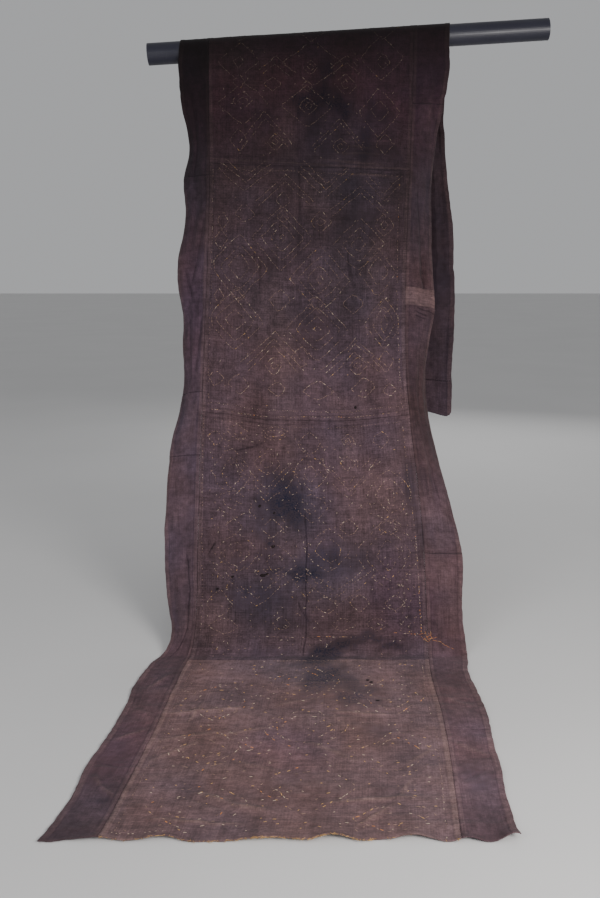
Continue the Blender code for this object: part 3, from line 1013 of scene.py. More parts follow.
def raffia(name, dye, pale, rib=0.5, rough_dye=1.0):
    """Plain-woven dyed raffia: its deep dye, its pale colour for wear and for painted highlight, how much the
    crosswise threads show, and how unevenly the fine threads took the dye."""
    made, tree, shader = new_finish(name)
    flat = add_node(tree, "UVMap", {}, uv_map="flat").outputs["UV"]

    blotches = stretched_noise(tree, flat, (13.0, 10.0, 1.0), 5.0)
    lengthwise = stretched_noise(tree, flat, (430.0, 11.0, 1.0), 3.0)
    crosswise = stretched_noise(tree, flat, (11.0, 430.0, 1.0), 3.0)
    flecks = stretched_noise(tree, flat, (62.0, 70.0, 1.0), 3.0)
    specks = stretched_noise(tree, flat, (230.0, 230.0, 1.0), 2.0)
    threads = reckon(tree, "MULTIPLY_ADD", crosswise, rib, reckon(tree, "MULTIPLY", lengthwise, 1 - rib))
    # the brightness of the dye with its painted shade, darkest towards the rod
    bright = painted(tree, "dye_and_shade")
    uneven = ((blotches, 0.95), (threads, 2.5 * rough_dye), (flecks, 1.2), (specks, 1.4 * rough_dye))
    for noise, amount in uneven:
        bright = reckon(tree, "MULTIPLY", bright, reckon(tree, "MULTIPLY_ADD", noise, amount, 1 - amount / 2))
    bright = reckon(tree, "MAXIMUM", bright, 0.04)

    # pale share: wear, and painted highlight on ridges
    wear_and_highlight_share = reckon(tree, "MULTIPLY", painted(tree, "wear_and_highlight"), reckon(tree, "MULTIPLY", threads, 1.3))
    cool = (dye[0] * 0.87, dye[1] * 0.98, dye[2] * 1.15, 1.0)
    drift = stretched_noise(tree, flat, (5.5, 4.5, 1.0), 4.0)
    drift = add_node(tree, "MapRange", {0: drift, 1: 0.36, 2: 0.64}).outputs[0]
    colour = blend_colours(tree, drift, (*dye, 1.0), cool)
    colour = tinted(tree, painted(tree, "brown"), colour, BROWN_TINT)
    colour = tinted(tree, painted(tree, "blue"), colour, BLUE_TINT)
    colour = blend_colours(tree, wear_and_highlight_share, colour, (*pale, 1.0))
    colour = brightened(tree, colour, bright)
    stain_edge = reckon(tree, "MULTIPLY_ADD", threads, 2.2, -2.75)
    stain_edge = reckon(tree, "MULTIPLY_ADD", specks, 3.0, stain_edge)
    stain_edge = reckon(tree, "MULTIPLY_ADD", flecks, 1.6, stain_edge)
    stain_edge = add_node(tree, "Clamp", {0: stain_edge, 1: 0.12, 2: 1.15}).outputs[0]
    stain = reckon(tree, "MULTIPLY", painted(tree, "stain"), stain_edge)
    stain = add_node(tree, "Clamp", {0: stain}).outputs[0]
    colour = tinted(tree, stain, colour, STAIN_TINT)
    # painted shade in the grooves and the crease troughs
    colour = tinted(tree, painted(tree, "groove_shade"), colour, GROOVE_SHADE_TINT)

    spread = add_node(tree, "SeparateXYZ", {0: flat})
    turns = 2 * math.pi / WEAVE_PITCH
    over = reckon(tree, "SINE", reckon(tree, "MULTIPLY", spread.outputs[0], turns))
    under = reckon(tree, "SINE", reckon(tree, "MULTIPLY", spread.outputs[1], turns))
    weave = reckon(tree, "MULTIPLY", over, under)
    crinkle = stretched_noise(tree, flat, (90.0, 60.0, 1.0), 3.0)
    normal = bumped(tree, 0.5, 0.0022, crinkle)
    normal = bumped(tree, 0.5, 0.0006, threads, Normal=normal)
    normal = bumped(tree, 0.4, 0.00014, weave, Normal=normal)
    fill_inputs(tree, shader, {
        "Base Color": colour,
        "Normal": normal,
        "Roughness": reckon(tree, "MULTIPLY_ADD", threads, 0.25, 0.70),
        "Specular IOR Level": 0.15,
        "Sheen Weight": 0.04,
        "Sheen Roughness": 0.6,
        "Sheen Tint": (0.9, 0.85, 0.9, 1.0),
    })
    return made


RAFFIA = {
    "dark": raffia("raffia dark", (0.080, 0.0455, 0.0510), (0.130, 0.081, 0.082)),
    "light": raffia("raffia light", (0.131, 0.073, 0.071), (0.205, 0.128, 0.112), 0.55, 0.75),
    "border": raffia("raffia border", (0.082, 0.043, 0.0480), (0.134, 0.080, 0.080), 0.45, 0.62),
    "patch": raffia("raffia patch", (0.158, 0.088, 0.086), (0.200, 0.122, 0.116), 0.75, 0.7),
}
print("raffia finishes:", list(RAFFIA))

# %% [markdown]
# ## The cut pieces
# Each piece starts as a flat grid. Its columns and rows stand closer together near seams, hems and stitched
# lines, where the shape is fine, and wider elsewhere. The grid's points then move to their place on the
# hung cloth, and a Solidify modifier gives the sheet a thickness of 1.5 mm.

# %% Grid lines
FINE = 0.0018
COARSE = 0.006
CREASE_SPREAD = 0.028
CREASE_POINTS = 12
FINE_REACH = 0.003
COARSE_RAMP = 0.012
PANEL_LINE = 0.278
BORDER_LINE = 0.3025


def spaced(start, end, fine_places):
    """Places from start to end, closer together near the fine places."""
    run = np.linspace(start, end, 3000)
    away = np.min([np.abs(run - place) for place in fine_places], axis=0)
    size = FINE + (COARSE - FINE) * np.clip((away - FINE_REACH) / COARSE_RAMP, 0, 1)
    count = np.concatenate([[0], np.cumsum(np.diff(run) / size[1:])])
    return np.interp(np.linspace(0, count[-1], math.ceil(count[-1]) + 1), count, run)


def crease_places(across_range, along_range):
    """Columns and rows along the creases of one piece that run nearly straight down or straight across it."""
    found = [], []
    for a0, l0, a1, l1, *_ in CREASES:
        middle = (a0 + a1) / 2, (l0 + l1) / 2
        if across_range[0] < middle[0] < across_range[1] and along_range[0] < middle[1] < along_range[1]:
            for places, start, end in ((found[0], a0, a1), (found[1], l0, l1)):
                if abs(end - start) < CREASE_SPREAD:
                    places.extend(np.linspace(start, end, CREASE_POINTS))
    return found


print("columns of a panel:", len(spaced(-SEAM, SEAM, (-SEAM, -PANEL_LINE, PANEL_LINE, SEAM))))

# %% Make one piece
THICKNESS = 0.0015
SHEETS = {}
# where the dye turned brown, rising and falling along the cloth, and where each border turned blue
BROWN_RISE, BROWN_FALL = (2.05, 2.34), (2.95, 2.70)
BLUE_LEFT, BLUE_RIGHT = (0.70, 0.90), (1.79, 1.95)
BLUE_BORDER = 0.75


def mesh_of(shape, name):
    """The mesh of what a bmesh holds, and the bmesh freed."""
    mesh = bpy.data.meshes.new(name)
    shape.to_mesh(mesh)
    shape.free()
    return mesh


def point_places(mesh):
    """The places of a mesh's points, one row each."""
    places = np.empty(len(mesh.vertices) * 3)
    mesh.vertices.foreach_get("co", places)
    return places.reshape(-1, 3)


def turned_dye(across, along):
    """How far the dye turned brown, and how far blue, at each point."""
    brown = smooth_step(*BROWN_RISE, along) * smooth_step(*BROWN_FALL, along)
    brown = np.maximum(brown, soft_spots(WARM_SPOTS, across, along))
    blue = np.where(across < -SEAM, BLUE_BORDER * smooth_step(*BLUE_LEFT, along), 0.0)
    blue = np.maximum(blue, np.where(across > SEAM, BLUE_BORDER * smooth_step(*BLUE_RIGHT, along), 0.0))
    return brown, np.maximum(blue, soft_spots(COOL_SPOTS, across, along))


def paint(mesh, name, values):
    """Keep a number for each point of a mesh."""
    mesh.attributes.new(name, "FLOAT", "POINT").data.foreach_set("value", values.astype(np.float32))


def cloth_piece(node, along_range, across_range, fine_across, finish, held, rests_on):
    """One cut piece of the cloth, in the place of its solid."""
    crease_columns, crease_rows = crease_places(across_range, along_range)
    columns = spaced(*across_range, [*fine_across, *crease_columns])
    rows = spaced(*along_range, [*along_range, *(place for place, _ in CROSS_LINES), *crease_rows])
    shape = bmesh.new()
    bmesh.ops.create_grid(shape, x_segments=len(columns) - 1, y_segments=len(rows) - 1, size=0.5)
    mesh = mesh_of(shape, "cloth_" + node)

    grid = point_places(mesh) + 0.5
    across = columns[np.rint(grid[:, 0] * (len(columns) - 1)).astype(int)]
    along = rows[np.rint(grid[:, 1] * (len(rows) - 1)).astype(int)]
    mesh.vertices.foreach_set("co", cloth_place(across, along).ravel())
    corners = np.empty(len(mesh.loops), dtype=int)
    mesh.loops.foreach_get("vertex_index", corners)
    flat = mesh.uv_layers[0] if mesh.uv_layers else mesh.uv_layers.new()
    flat.name = "flat"
    flat_places = np.stack([across + EDGE, along], axis=-1)[corners]
    flat.uv.foreach_set("vector", flat_places.ravel().astype(np.float32))
    # painted shade in the seam grooves and along the crease troughs
    dark = np.maximum(seams(across, along)[1], 0.95 * creases(across, along)[1])
    brown, blue = turned_dye(across, along)
    for name, values in (("stain", stained(across, along)), ("groove_shade", dark), ("dye_and_shade", dye_and_shade(across, along)),
                         ("wear_and_highlight", pale_wear_and_highlight(across, along)), ("brown", brown), ("blue", blue)):
        paint(mesh, name, values)
    mesh.shade_smooth()

    piece = put_in_scene("cloth_" + node, mesh)
    mesh.materials.append(RAFFIA[finish])
    sheet = piece.modifiers.new("sheet", "SOLIDIFY")
    sheet.thickness = THICKNESS
    sheet.offset = 0.0
    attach(piece, "root")
    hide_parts(node)
    flat_size = (across_range[1] - across_range[0], along_range[1] - along_range[0])
    SHEETS[node] = (piece, flat_size, held, rests_on)
    return len(mesh.polygons) * 4


print("cloth is", THICKNESS * 1000, "mm thick")

# %% Panels
# how each panel is held, and what it rests on
PANEL_HOLD = {
    "panel_floor": ("laid", "floor"),
    "panel_lower": ("draped", "cloth_panel_middle"),
    "panel_middle": ("hung", "cloth_panel_top"),
    "panel_top": ("draped", "rod"),
    "panel_back": ("hung", "cloth_panel_top"),
}
inner = SEAM - SEAM_GAP / 2
triangles = 0
start = 0.0
for node, end in PANEL_ENDS:
    finish = "light" if node == "panel_floor" else "dark"
    held, support = PANEL_HOLD[node]
    along_range = (start + (SEAM_GAP / 2 if start else 0.0), end - SEAM_GAP / 2)
    triangles += cloth_piece(
        node, along_range, (-inner, inner), (-inner, -PANEL_LINE, PANEL_LINE, inner),
        finish, held, [support],
    )
    start = end
print("five panels,", triangles, "triangles")

# %% Borders
ON_FLOOR = 0.7
triangles = 0
for side, ends in (("left", LEFT_ENDS), ("right", RIGHT_ENDS)):
    start = 0.0
    for number, end in enumerate(ends, 1):
        node = f"border_{side}_{number}"
        sides = sorted((SEAM + SEAM_GAP / 2, EDGE))
        fine = [SEAM, BORDER_LINE, EDGE - HEM, EDGE]
        if side == "left":
            sides, fine = [-sides[1], -sides[0]], [-place for place in fine]
        finish = "patch" if node == "border_right_4" else "border"
        below = f"cloth_border_{side}_{number - 1}"
        support = "rod" if start < ROD_ALONG < end else "floor" if start < ON_FLOOR else below
        along_range = (start + (SEAM_GAP / 2 if start else 0.0), end - SEAM_GAP / 2)
        triangles += cloth_piece(
            node, along_range, sides, fine, finish, "draped", [support],
        )
        start = end
print("borders,", triangles, "triangles")

# %% [markdown]
# ## The stitched pattern
# The panels are embroidered in running stitch with undyed raffia: rows of lozenges within lozenges, small
# eight-sided ones between them, and zigzags. The maker worked by eye, so no two are alike. Small charts
# give each figure's place and size. Each is drawn as a closed or open line on the flat cloth, and
# the line is then filled with stitches that vary in length, colour and wear.

# %% Charts of the figures
# kind, across, along, half width, half height, rings
# "gem" is a lozenge with blunt corners, "vee" opens upwards from its point, "tent" opens downwards.
CHARTS = {
    "panel_top": (
        ("gem", -0.205, 2.426, 0.060, 0.056, 1), ("gem", -0.205, 2.424, 0.016, 0.018, 1),
        ("gem", 0.005, 2.422, 0.088, 0.064, 1), ("gem", 0.000, 2.412, 0.022, 0.022, 2),
        ("gem", 0.200, 2.440, 0.062, 0.062, 1), ("gem", 0.204, 2.430, 0.020, 0.022, 1),
        ("tent", -0.100, 2.442, 0.046, 0.040, 2), ("tent", 0.100, 2.446, 0.040, 0.036, 2),
        ("gem", -0.010, 2.358, 0.015, 0.015, 1), ("gem", 0.100, 2.364, 0.032, 0.032, 2),
        ("gem", -0.107, 2.362, 0.026, 0.020, 1), ("gem", -0.203, 2.368, 0.018, 0.020, 1),
        ("gem", -0.193, 2.306, 0.074, 0.060, 1), ("gem", -0.193, 2.314, 0.030, 0.026, 2),
        ("gem", -0.010, 2.302, 0.072, 0.060, 1), ("gem", -0.006, 2.300, 0.026, 0.026, 2),
        ("gem", 0.196, 2.290, 0.058, 0.070, 1), ("gem", 0.198, 2.292, 0.026, 0.028, 1),
        ("tent", -0.128, 2.282, 0.072, 0.090, 2), ("tent", 0.085, 2.274, 0.080, 0.088, 2),
        ("gem", -0.100, 2.196, 0.026, 0.026, 2), ("gem", 0.088, 2.190, 0.024, 0.024, 2),
        ("gem", -0.205, 2.200, 0.028, 0.034, 1), ("gem", 0.214, 2.200, 0.026, 0.030, 1),
        ("gem", -0.200, 2.560, 0.080, 0.074, 3), ("gem", 0.000, 2.556, 0.084, 0.074, 3),
        ("gem", 0.200, 2.562, 0.078, 0.074, 3), ("gem", -0.100, 2.650, 0.080, 0.076, 3),
        ("gem", 0.100, 2.648, 0.082, 0.078, 3), ("gem", -0.210, 2.740, 0.070, 0.070, 3),
        ("gem", 0.002, 2.744, 0.086, 0.078, 3), ("gem", 0.206, 2.736, 0.072, 0.072, 3),
        ("gem", -0.100, 2.806, 0.026, 0.026, 2), ("gem", 0.104, 2.804, 0.028, 0.028, 2),
        ("gem", -0.232, 2.650, 0.024, 0.030, 1), ("gem", 0.232, 2.650, 0.024, 0.030, 1),
    ),
    "panel_middle": (
        ("vee", -0.185, 2.058, 0.080, 0.062, 3), ("vee", 0.047, 2.046, 0.080, 0.070, 3),
        ("vee", 0.218, 2.046, 0.056, 0.054, 2), ("tent", -0.070, 2.108, 0.086, 0.080, 2),
        ("tent", 0.148, 2.082, 0.086, 0.072, 2), ("gem", -0.075, 2.036, 0.022, 0.024, 1),
        ("gem", -0.073, 1.988, 0.019, 0.018, 1), ("gem", -0.185, 1.992, 0.030, 0.028, 1),
        ("gem", 0.037, 1.978, 0.032, 0.030, 2), ("gem", 0.222, 1.974, 0.030, 0.034, 2),
        ("gem", -0.248, 1.968, 0.018, 0.026, 1), ("gem", -0.073, 1.930, 0.088, 0.090, 4),
        ("gem", -0.196, 1.842, 0.084, 0.092, 3), ("gem", 0.040, 1.820, 0.090, 0.092, 4),
        ("gem", 0.150, 1.920, 0.076, 0.074, 3), ("gem", 0.208, 1.842, 0.056, 0.070, 2),
        ("gem", -0.253, 1.915, 0.022, 0.030, 1), ("gem", -0.195, 1.766, 0.024, 0.020, 1),
        ("gem", -0.075, 1.760, 0.032, 0.032, 1), ("gem", 0.030, 1.757, 0.026, 0.019, 1),
        ("gem", 0.140, 1.754, 0.032, 0.028, 1), ("gem", 0.235, 1.746, 0.022, 0.022, 1),
        ("gem", -0.203, 1.694, 0.082, 0.084, 3), ("gem", 0.036, 1.684, 0.092, 0.088, 4),
        ("gem", 0.228, 1.694, 0.056, 0.074, 3), ("gem", -0.252, 1.756, 0.016, 0.022, 1),
        ("tent", -0.088, 1.672, 0.098, 0.094, 3), ("gem", -0.086, 1.580, 0.028, 0.026, 2),
        ("tent", 0.144, 1.662, 0.094, 0.090, 3), ("gem", 0.152, 1.582, 0.028, 0.026, 2),
        ("gem", -0.253, 1.528, 0.024, 0.022, 1), ("gem", -0.185, 1.520, 0.032, 0.030, 1),
        ("gem", -0.078, 1.516, 0.026, 0.022, 1), ("gem", 0.040, 1.514, 0.048, 0.028, 1),
        ("gem", 0.166, 1.518, 0.034, 0.030, 1), ("gem", 0.238, 1.506, 0.022, 0.018, 1),
        ("gem", -0.010, 1.604, 0.026, 0.030, 1), ("gem", 0.232, 1.586, 0.024, 0.034, 1),
    ),
    "panel_lower": (
        ("gem", 0.008, 1.366, 0.033, 0.032, 1), ("gem", 0.115, 1.372, 0.021, 0.022, 2),
        ("gem", 0.205, 1.368, 0.023, 0.024, 1), ("gem", -0.188, 1.386, 0.032, 0.022, 1),
        ("gem", -0.250, 1.362, 0.022, 0.022, 1), ("gem", -0.085, 1.392, 0.044, 0.022, 2),
        ("gem", -0.110, 1.306, 0.038, 0.032, 2), ("gem", 0.110, 1.308, 0.022, 0.022, 1),
        ("vee", 0.107, 1.210, 0.090, 0.096, 3), ("vee", -0.112, 1.196, 0.092, 0.100, 3),
        ("gem", -0.205, 1.270, 0.054, 0.070, 2), ("gem", 0.214, 1.208, 0.062, 0.076, 3),
        ("gem", 0.008, 1.280, 0.046, 0.052, 2), ("gem", -0.200, 1.182, 0.052, 0.040, 2),
        ("gem", -0.198, 1.118, 0.024, 0.024, 1), ("gem", -0.098, 1.122, 0.030, 0.028, 1),
        ("gem", 0.005, 1.180, 0.044, 0.042, 2), ("gem", 0.100, 1.124, 0.026, 0.024, 1),
        ("gem", 0.206, 1.124, 0.032, 0.026, 1), ("gem", 0.200, 1.042, 0.084, 0.098, 3),
        ("gem", 0.045, 1.060, 0.062, 0.064, 2), ("gem", -0.190, 1.044, 0.060, 0.058, 3),
        ("gem", -0.088, 1.020, 0.052, 0.058, 2), ("vee", -0.140, 0.900, 0.110, 0.100, 2),
        ("vee", 0.062, 0.902, 0.100, 0.090, 3), ("gem", 0.036, 0.902, 0.030, 0.026, 1),
        ("gem", 0.122, 0.904, 0.026, 0.026, 1), ("gem", 0.212, 0.906, 0.028, 0.024, 1),
        ("gem", -0.232, 0.900, 0.034, 0.040, 1), ("gem", -0.075, 0.846, 0.022, 0.020, 1),
        ("gem", -0.220, 0.836, 0.040, 0.026, 1), ("gem", 0.080, 0.842, 0.034, 0.020, 1),
        ("gem", 0.165, 0.844, 0.030, 0.020, 1), ("gem", -0.012, 0.960, 0.030, 0.034, 1),
    ),
    "panel_floor": (
        ("gem", 0.188, 0.062, 0.080, 0.048, 2), ("gem", -0.150, 0.100, 0.090, 0.070, 2),
        ("gem", 0.030, 0.160, 0.090, 0.084, 2), ("gem", 0.190, 0.280, 0.084, 0.090, 2),
        ("gem", -0.170, 0.300, 0.090, 0.090, 3), ("gem", 0.010, 0.380, 0.086, 0.088, 2),
        ("gem", -0.180, 0.500, 0.084, 0.086, 2), ("gem", 0.180, 0.520, 0.082, 0.088, 2),
        ("gem", 0.000, 0.600, 0.080, 0.080, 2),
    ),
    "panel_back": (
        ("gem", -0.190, 2.990, 0.086, 0.084, 3), ("gem", 0.002, 2.986, 0.088, 0.084, 4),
        ("gem", 0.194, 2.990, 0.084, 0.086, 3), ("gem", -0.098, 3.080, 0.026, 0.026, 1),
        ("gem", 0.098, 3.078, 0.028, 0.028, 1), ("gem", -0.188, 3.172, 0.088, 0.086, 4),
        ("gem", 0.006, 3.170, 0.086, 0.084, 3), ("gem", 0.196, 3.168, 0.084, 0.084, 4),
        ("gem", -0.096, 3.262, 0.026, 0.024, 2), ("gem", 0.100, 3.264, 0.026, 0.026, 1),
        ("gem", -0.190, 3.352, 0.084, 0.084, 3), ("gem", 0.004, 3.356, 0.088, 0.086, 3),
        ("gem", 0.192, 3.352, 0.086, 0.084, 3), ("gem", -0.190, 3.520, 0.076, 0.066, 2),
        ("gem", 0.002, 3.526, 0.080, 0.064, 3), ("gem", 0.194, 3.520, 0.074, 0.066, 2),
        ("gem", -0.096, 3.446, 0.026, 0.026, 1), ("gem", 0.098, 3.444, 0.024, 0.026, 2),
    ),
}
print("figures in the charts:", {name: len(chart) for name, chart in CHARTS.items()})

# %% Draw a figure as lines
hand = np.random.default_rng(2024)
RING_STEP = 0.022


def gem_line(across, along, wide, tall):
    """A closed lozenge with blunt corners, drawn by an unsteady hand."""
    blunt = float(np.clip(0.0032 / min(wide, tall), 0.04, 0.15))
    unsteady = min(0.0016, 0.05 * min(wide, tall))
    corners = []
    tips = [(math.cos(k * math.pi / 2) * wide, math.sin(k * math.pi / 2) * tall) for k in range(5)]
    for here, there in zip(tips[:-1], tips[1:]):
        for share in (blunt, 1 - blunt):
            corners.append([here[0] + (there[0] - here[0]) * share, here[1] + (there[1] - here[1]) * share])
    corners = np.array(corners) + hand.normal(0, unsteady, (8, 2)) + (across, along)
    return np.vstack([corners, corners[:1]])


def by_hand(line, loose, bulge):
    """The line bent a little between its corners, as a hand stitches it."""
    points = [line[0]]
    for start, end in zip(line[:-1], line[1:]):
        run = end - start
        length = float(np.hypot(*run)) + 1e-9
        outward = np.array([run[1], -run[0]]) / length
        bow, ripple = hand.normal(0, loose, 2) * min(1.0, length / 0.06)
        for share in np.linspace(0, 1, max(2, int(length / 0.012)) + 1)[1:]:
            bend = (bow + bulge * length) * math.sin(math.pi * share)
            bend += 0.6 * ripple * math.sin(3 * math.pi * share)
            points.append(start + run * share + outward * bend)
    return np.array(points)


def figure_lines(kind, across, along, wide, tall, rings):
    """All the lines of one figure."""
    lines = []
    for ring in range(rings):
        if kind == "gem":
            slant = ring * RING_STEP * min(1.0, min(wide, tall) / (rings * RING_STEP)) * 1.2
            if min(wide, tall) - slant > 0.006:
                lines.append(gem_line(across, along, wide - slant, tall - slant))
        else:
            up = 1 if kind == "vee" else -1
            shift = up * ring * RING_STEP * 0.9
            reach = 1 - 0.12 * ring
            points = np.array([[-wide * reach, up * tall * reach], [0, 0], [wide * reach, up * tall * reach]])
            lines.append(points + (across, along + shift) + hand.normal(0, 0.002, (3, 2)))
    return lines


print("a figure of three rings has", len(figure_lines("gem", 0, 0, 0.08, 0.08, 3)), "lines")

# %% [markdown]
# ### From lines to stitches
# A running stitch shows as a short dash, then dives under. Along each line, dashes are laid with an uneven
# pitch. Some are missing where the raffia wore through, most have darkened nearly to the cloth's colour, and
# a few are still bright. Each stitch is only a list of numbers until all are known: place, direction,
# length, width and colour.

# %% Lay stitches on a line
STITCH_COLOURS = {
    "dull": (0.190, 0.120, 0.100),
    "tan": (0.290, 0.185, 0.140),
    "cream": (0.520, 0.400, 0.300),
    "gold": (0.560, 0.330, 0.130),
    "orange": (0.620, 0.240, 0.070),
    "dark": (0.011, 0.005, 0.006),
}


def lay_stitches(line, pitch, dash, shares, missing=0.12, width=0.0013):
    """Stitches along a line: across, along, direction, length, width and colour of each."""
    steps = np.diff(line, axis=0)
    lengths = np.hypot(*steps.T)
    ends = np.concatenate([[0], np.cumsum(lengths)])
    found = []
    place = hand.uniform(0, pitch)
    while place < ends[-1]:
        i = max(min(int(np.searchsorted(ends, place)), len(steps)) - 1, 0)
        share = (place - ends[i]) / lengths[i]
        spot = line[i] + steps[i] * share + hand.normal(0, 0.0006, 2)
        turn = math.atan2(steps[i][1], steps[i][0]) + hand.normal(0, 0.09)
        name = hand.choice(list(shares), p=list(shares.values()))
        colour = np.array(STITCH_COLOURS[name]) * hand.uniform(0.8, 1.2)
        size = dash * hand.uniform(0.65, 1.3)
        if hand.random() > missing:
            found.append([*spot, turn, size, width * hand.uniform(0.8, 1.25), *colour])
        place += pitch * hand.uniform(0.8, 1.2)
    return found


sample = lay_stitches(np.array([[0.0, 0.0], [0.1, 0.0]]), 0.01, 0.006, {"tan": 1.0})
print("10 cm of line takes", len(sample), "stitches")

# %% Fill the charts
FIGURE_SHARES = {
    "panel_top": {"dull": 0.55, "tan": 0.36, "cream": 0.07, "gold": 0.02},
    "panel_middle": {"dull": 0.52, "tan": 0.36, "cream": 0.09, "gold": 0.03},
    "panel_lower": {"dull": 0.50, "tan": 0.34, "cream": 0.12, "gold": 0.04},
    "panel_floor": {"dull": 0.24, "tan": 0.34, "cream": 0.13, "gold": 0.17, "orange": 0.12},
    "panel_back": {"dull": 0.50, "tan": 0.38, "cream": 0.10, "gold": 0.02},
}
HAND = {"panel_floor": (0.004, 0.06), "panel_lower": (0.003, 0.07)}
MISSING = {
    "panel_floor": 0.56, "panel_lower": 0.22, "panel_top": 0.12, "panel_middle": 0.08, "panel_back": 0.20,
}
PITCH = 0.0088
STITCH_WIDTH = 0.0015
SMALL = 0.035
SMALL_MISSING = 0.08
STITCHES = {name: [] for name in CHARTS}
for name, chart in CHARTS.items():
    for figure in chart:
        for line in figure_lines(*figure):
            loose, bulge = HAND.get(name, (0.0013, 0.015))
            line = by_hand(line, loose, bulge if figure[0] == "gem" else 0.0)
            inside = np.clip(line, (-SEAM + 0.020, -9), (SEAM - 0.020, 9))
            dash = 0.0060 if name == "panel_lower" else 0.0078
            small = min(figure[3:5]) < SMALL and name != "panel_floor"
            missing = SMALL_MISSING if small else MISSING[name]
            dash += 0.0008 * small
            STITCHES[name] += lay_stitches(inside, PITCH, dash, FIGURE_SHARES[name], missing, STITCH_WIDTH)
print("stitches in the figures:", {name: len(found) for name, found in STITCHES.items()})

# %% [markdown]
# ### Frame lines and seam stitches
# A dotted line frames each panel just inside its seams, and finer stitches hold the seams down. On the light
# panel most of the embroidery has worn off, and loose dashes lie scattered on it.

# %% Frame lines, seams and scattered dashes
FRAME_MISSING = 0.30
LINE_POINTS = 30
# panel, from across, from along, to across, to along, pitch, dash, brightness
FRAME_LINES = (
    ("panel_middle", -0.271, 1.45, -0.280, 2.118, 0.0085, 0.0050, "soft"),
    ("panel_middle", 0.272, 1.45, 0.270, 2.100, 0.0085, 0.0056, "bright"),
    ("panel_middle", -0.270, 2.112, 0.262, 2.112, 0.0070, 0.0042, "faint"),
    ("panel_middle", -0.270, 1.457, 0.262, 1.457, 0.0060, 0.0032, "soft"),
    ("panel_middle", -0.268, 1.440, 0.262, 1.440, 0.0085, 0.0056, "bright"),
    ("panel_lower", -0.275, 0.816, -0.274, 1.415, 0.0080, 0.0044, "soft"),
    ("panel_lower", 0.276, 0.816, 0.275, 1.415, 0.0080, 0.0050, "bright"),
    ("panel_lower", -0.268, 1.412, 0.262, 1.412, 0.0075, 0.0040, "faint"),
    ("panel_lower", -0.250, 0.807, -0.120, 0.806, 0.0110, 0.0044, "faint"),
    ("panel_lower", -0.118, 0.806, -0.044, 0.804, 0.0088, 0.0070, "bright"),
    ("panel_lower", -0.040, 0.805, 0.012, 0.806, 0.0120, 0.0044, "faint"),
    ("panel_lower", 0.014, 0.808, 0.088, 0.806, 0.0088, 0.0072, "glow"),
    ("panel_lower", 0.092, 0.806, 0.196, 0.812, 0.0105, 0.0044, "soft"),
    ("panel_lower", 0.199, 0.820, 0.268, 0.815, 0.0086, 0.0078, "glow"),
    ("panel_lower", 0.275, 0.815, 0.275, 0.960, 0.0096, 0.0060, "glow"),
    ("panel_lower", -0.250, 0.770, -0.196, 0.766, 0.0140, 0.0060, "glow"),
    ("panel_floor", -0.268, 0.010, -0.268, 0.700, 0.0090, 0.0040, "faint"),
    ("panel_floor", 0.266, 0.010, 0.268, 0.700, 0.0090, 0.0050, "soft"),
    ("panel_floor", -0.272, 0.018, -0.190, 0.018, 0.0065, 0.0034, "white"),
    ("panel_floor", -0.268, 0.712, 0.266, 0.712, 0.0080, 0.0040, "faint"),
    ("panel_top", -0.270, 2.520, -0.272, 2.850, 0.0090, 0.0044, "faint"),
    ("panel_top", 0.266, 2.520, 0.268, 2.850, 0.0090, 0.0044, "faint"),
    ("panel_back", -0.270, 2.890, -0.270, 3.630, 0.0090, 0.0046, "soft"),
    ("panel_back", 0.268, 2.890, 0.268, 3.630, 0.0090, 0.0046, "soft"),
    ("panel_back", -0.270, 3.630, 0.268, 3.630, 0.0080, 0.0046, "soft"),
    ("panel_back", -0.270, 2.890, 0.268, 2.890, 0.0080, 0.0046, "soft"),
)
LINE_SHARES = {
    "faint": {"dull": 0.80, "tan": 0.18, "cream": 0.02},
    "soft": {"dull": 0.45, "tan": 0.42, "cream": 0.13},
    "bright": {"dull": 0.22, "tan": 0.38, "cream": 0.28, "gold": 0.09, "orange": 0.03},
    "white": {"tan": 0.2, "cream": 0.8},
    "glow": {"tan": 0.20, "cream": 0.20, "gold": 0.25, "orange": 0.35},
}
for name, a0, l0, a1, l1, pitch, dash, brightness in FRAME_LINES:
    run = np.linspace((a0, l0), (a1, l1), LINE_POINTS)
    drift = np.cumsum(hand.normal(0, 0.0012, (LINE_POINTS, 2)), axis=0)
    run = run + drift * np.abs(np.array([l1 - l0, a1 - a0]))
    STITCHES[name] += lay_stitches(run, pitch, dash, LINE_SHARES[brightness], FRAME_MISSING)

# panel, how many, across from, across to, along from, along to
SCATTER = (
    ("panel_floor", 300, -0.262, 0.260, 0.020, 0.700),
    ("panel_lower", 300, -0.262, 0.255, 0.820, 1.400),
    ("panel_lower", 30, 0.215, 0.268, 0.810, 0.960),
    ("panel_lower", 26, -0.250, 0.250, 0.735, 0.800),
    ("panel_middle", 60, -0.262, 0.255, 1.450, 2.120),
    ("panel_top", 50, -0.262, 0.255, 2.150, 2.480),
)
for name, count, a0, a1, l0, l1 in SCATTER:
    for _ in range(count):
        spot = hand.uniform((a0, l0), (a1, l1))
        odds = [0.36, 0.30, 0.34] if name == "panel_floor" else [0.46, 0.46, 0.08]
        colour = np.array(STITCH_COLOURS[hand.choice(["tan", "cream", "gold"], p=odds)])
        turn = hand.normal(0, 0.5) if name == "panel_floor" else hand.uniform(0, math.pi)
        STITCHES[name].append([*spot, turn, hand.uniform(0.003, 0.008), 0.0013, *colour])
print("stitches in all:", sum(len(found) for found in STITCHES.values()))

# %% [markdown]
# One bright orange thread has pulled loose near the right foot of the hanging part and lies on the cloth
# in a crooked line. A few golden fibres stick out of the near edge, where the weave frays.

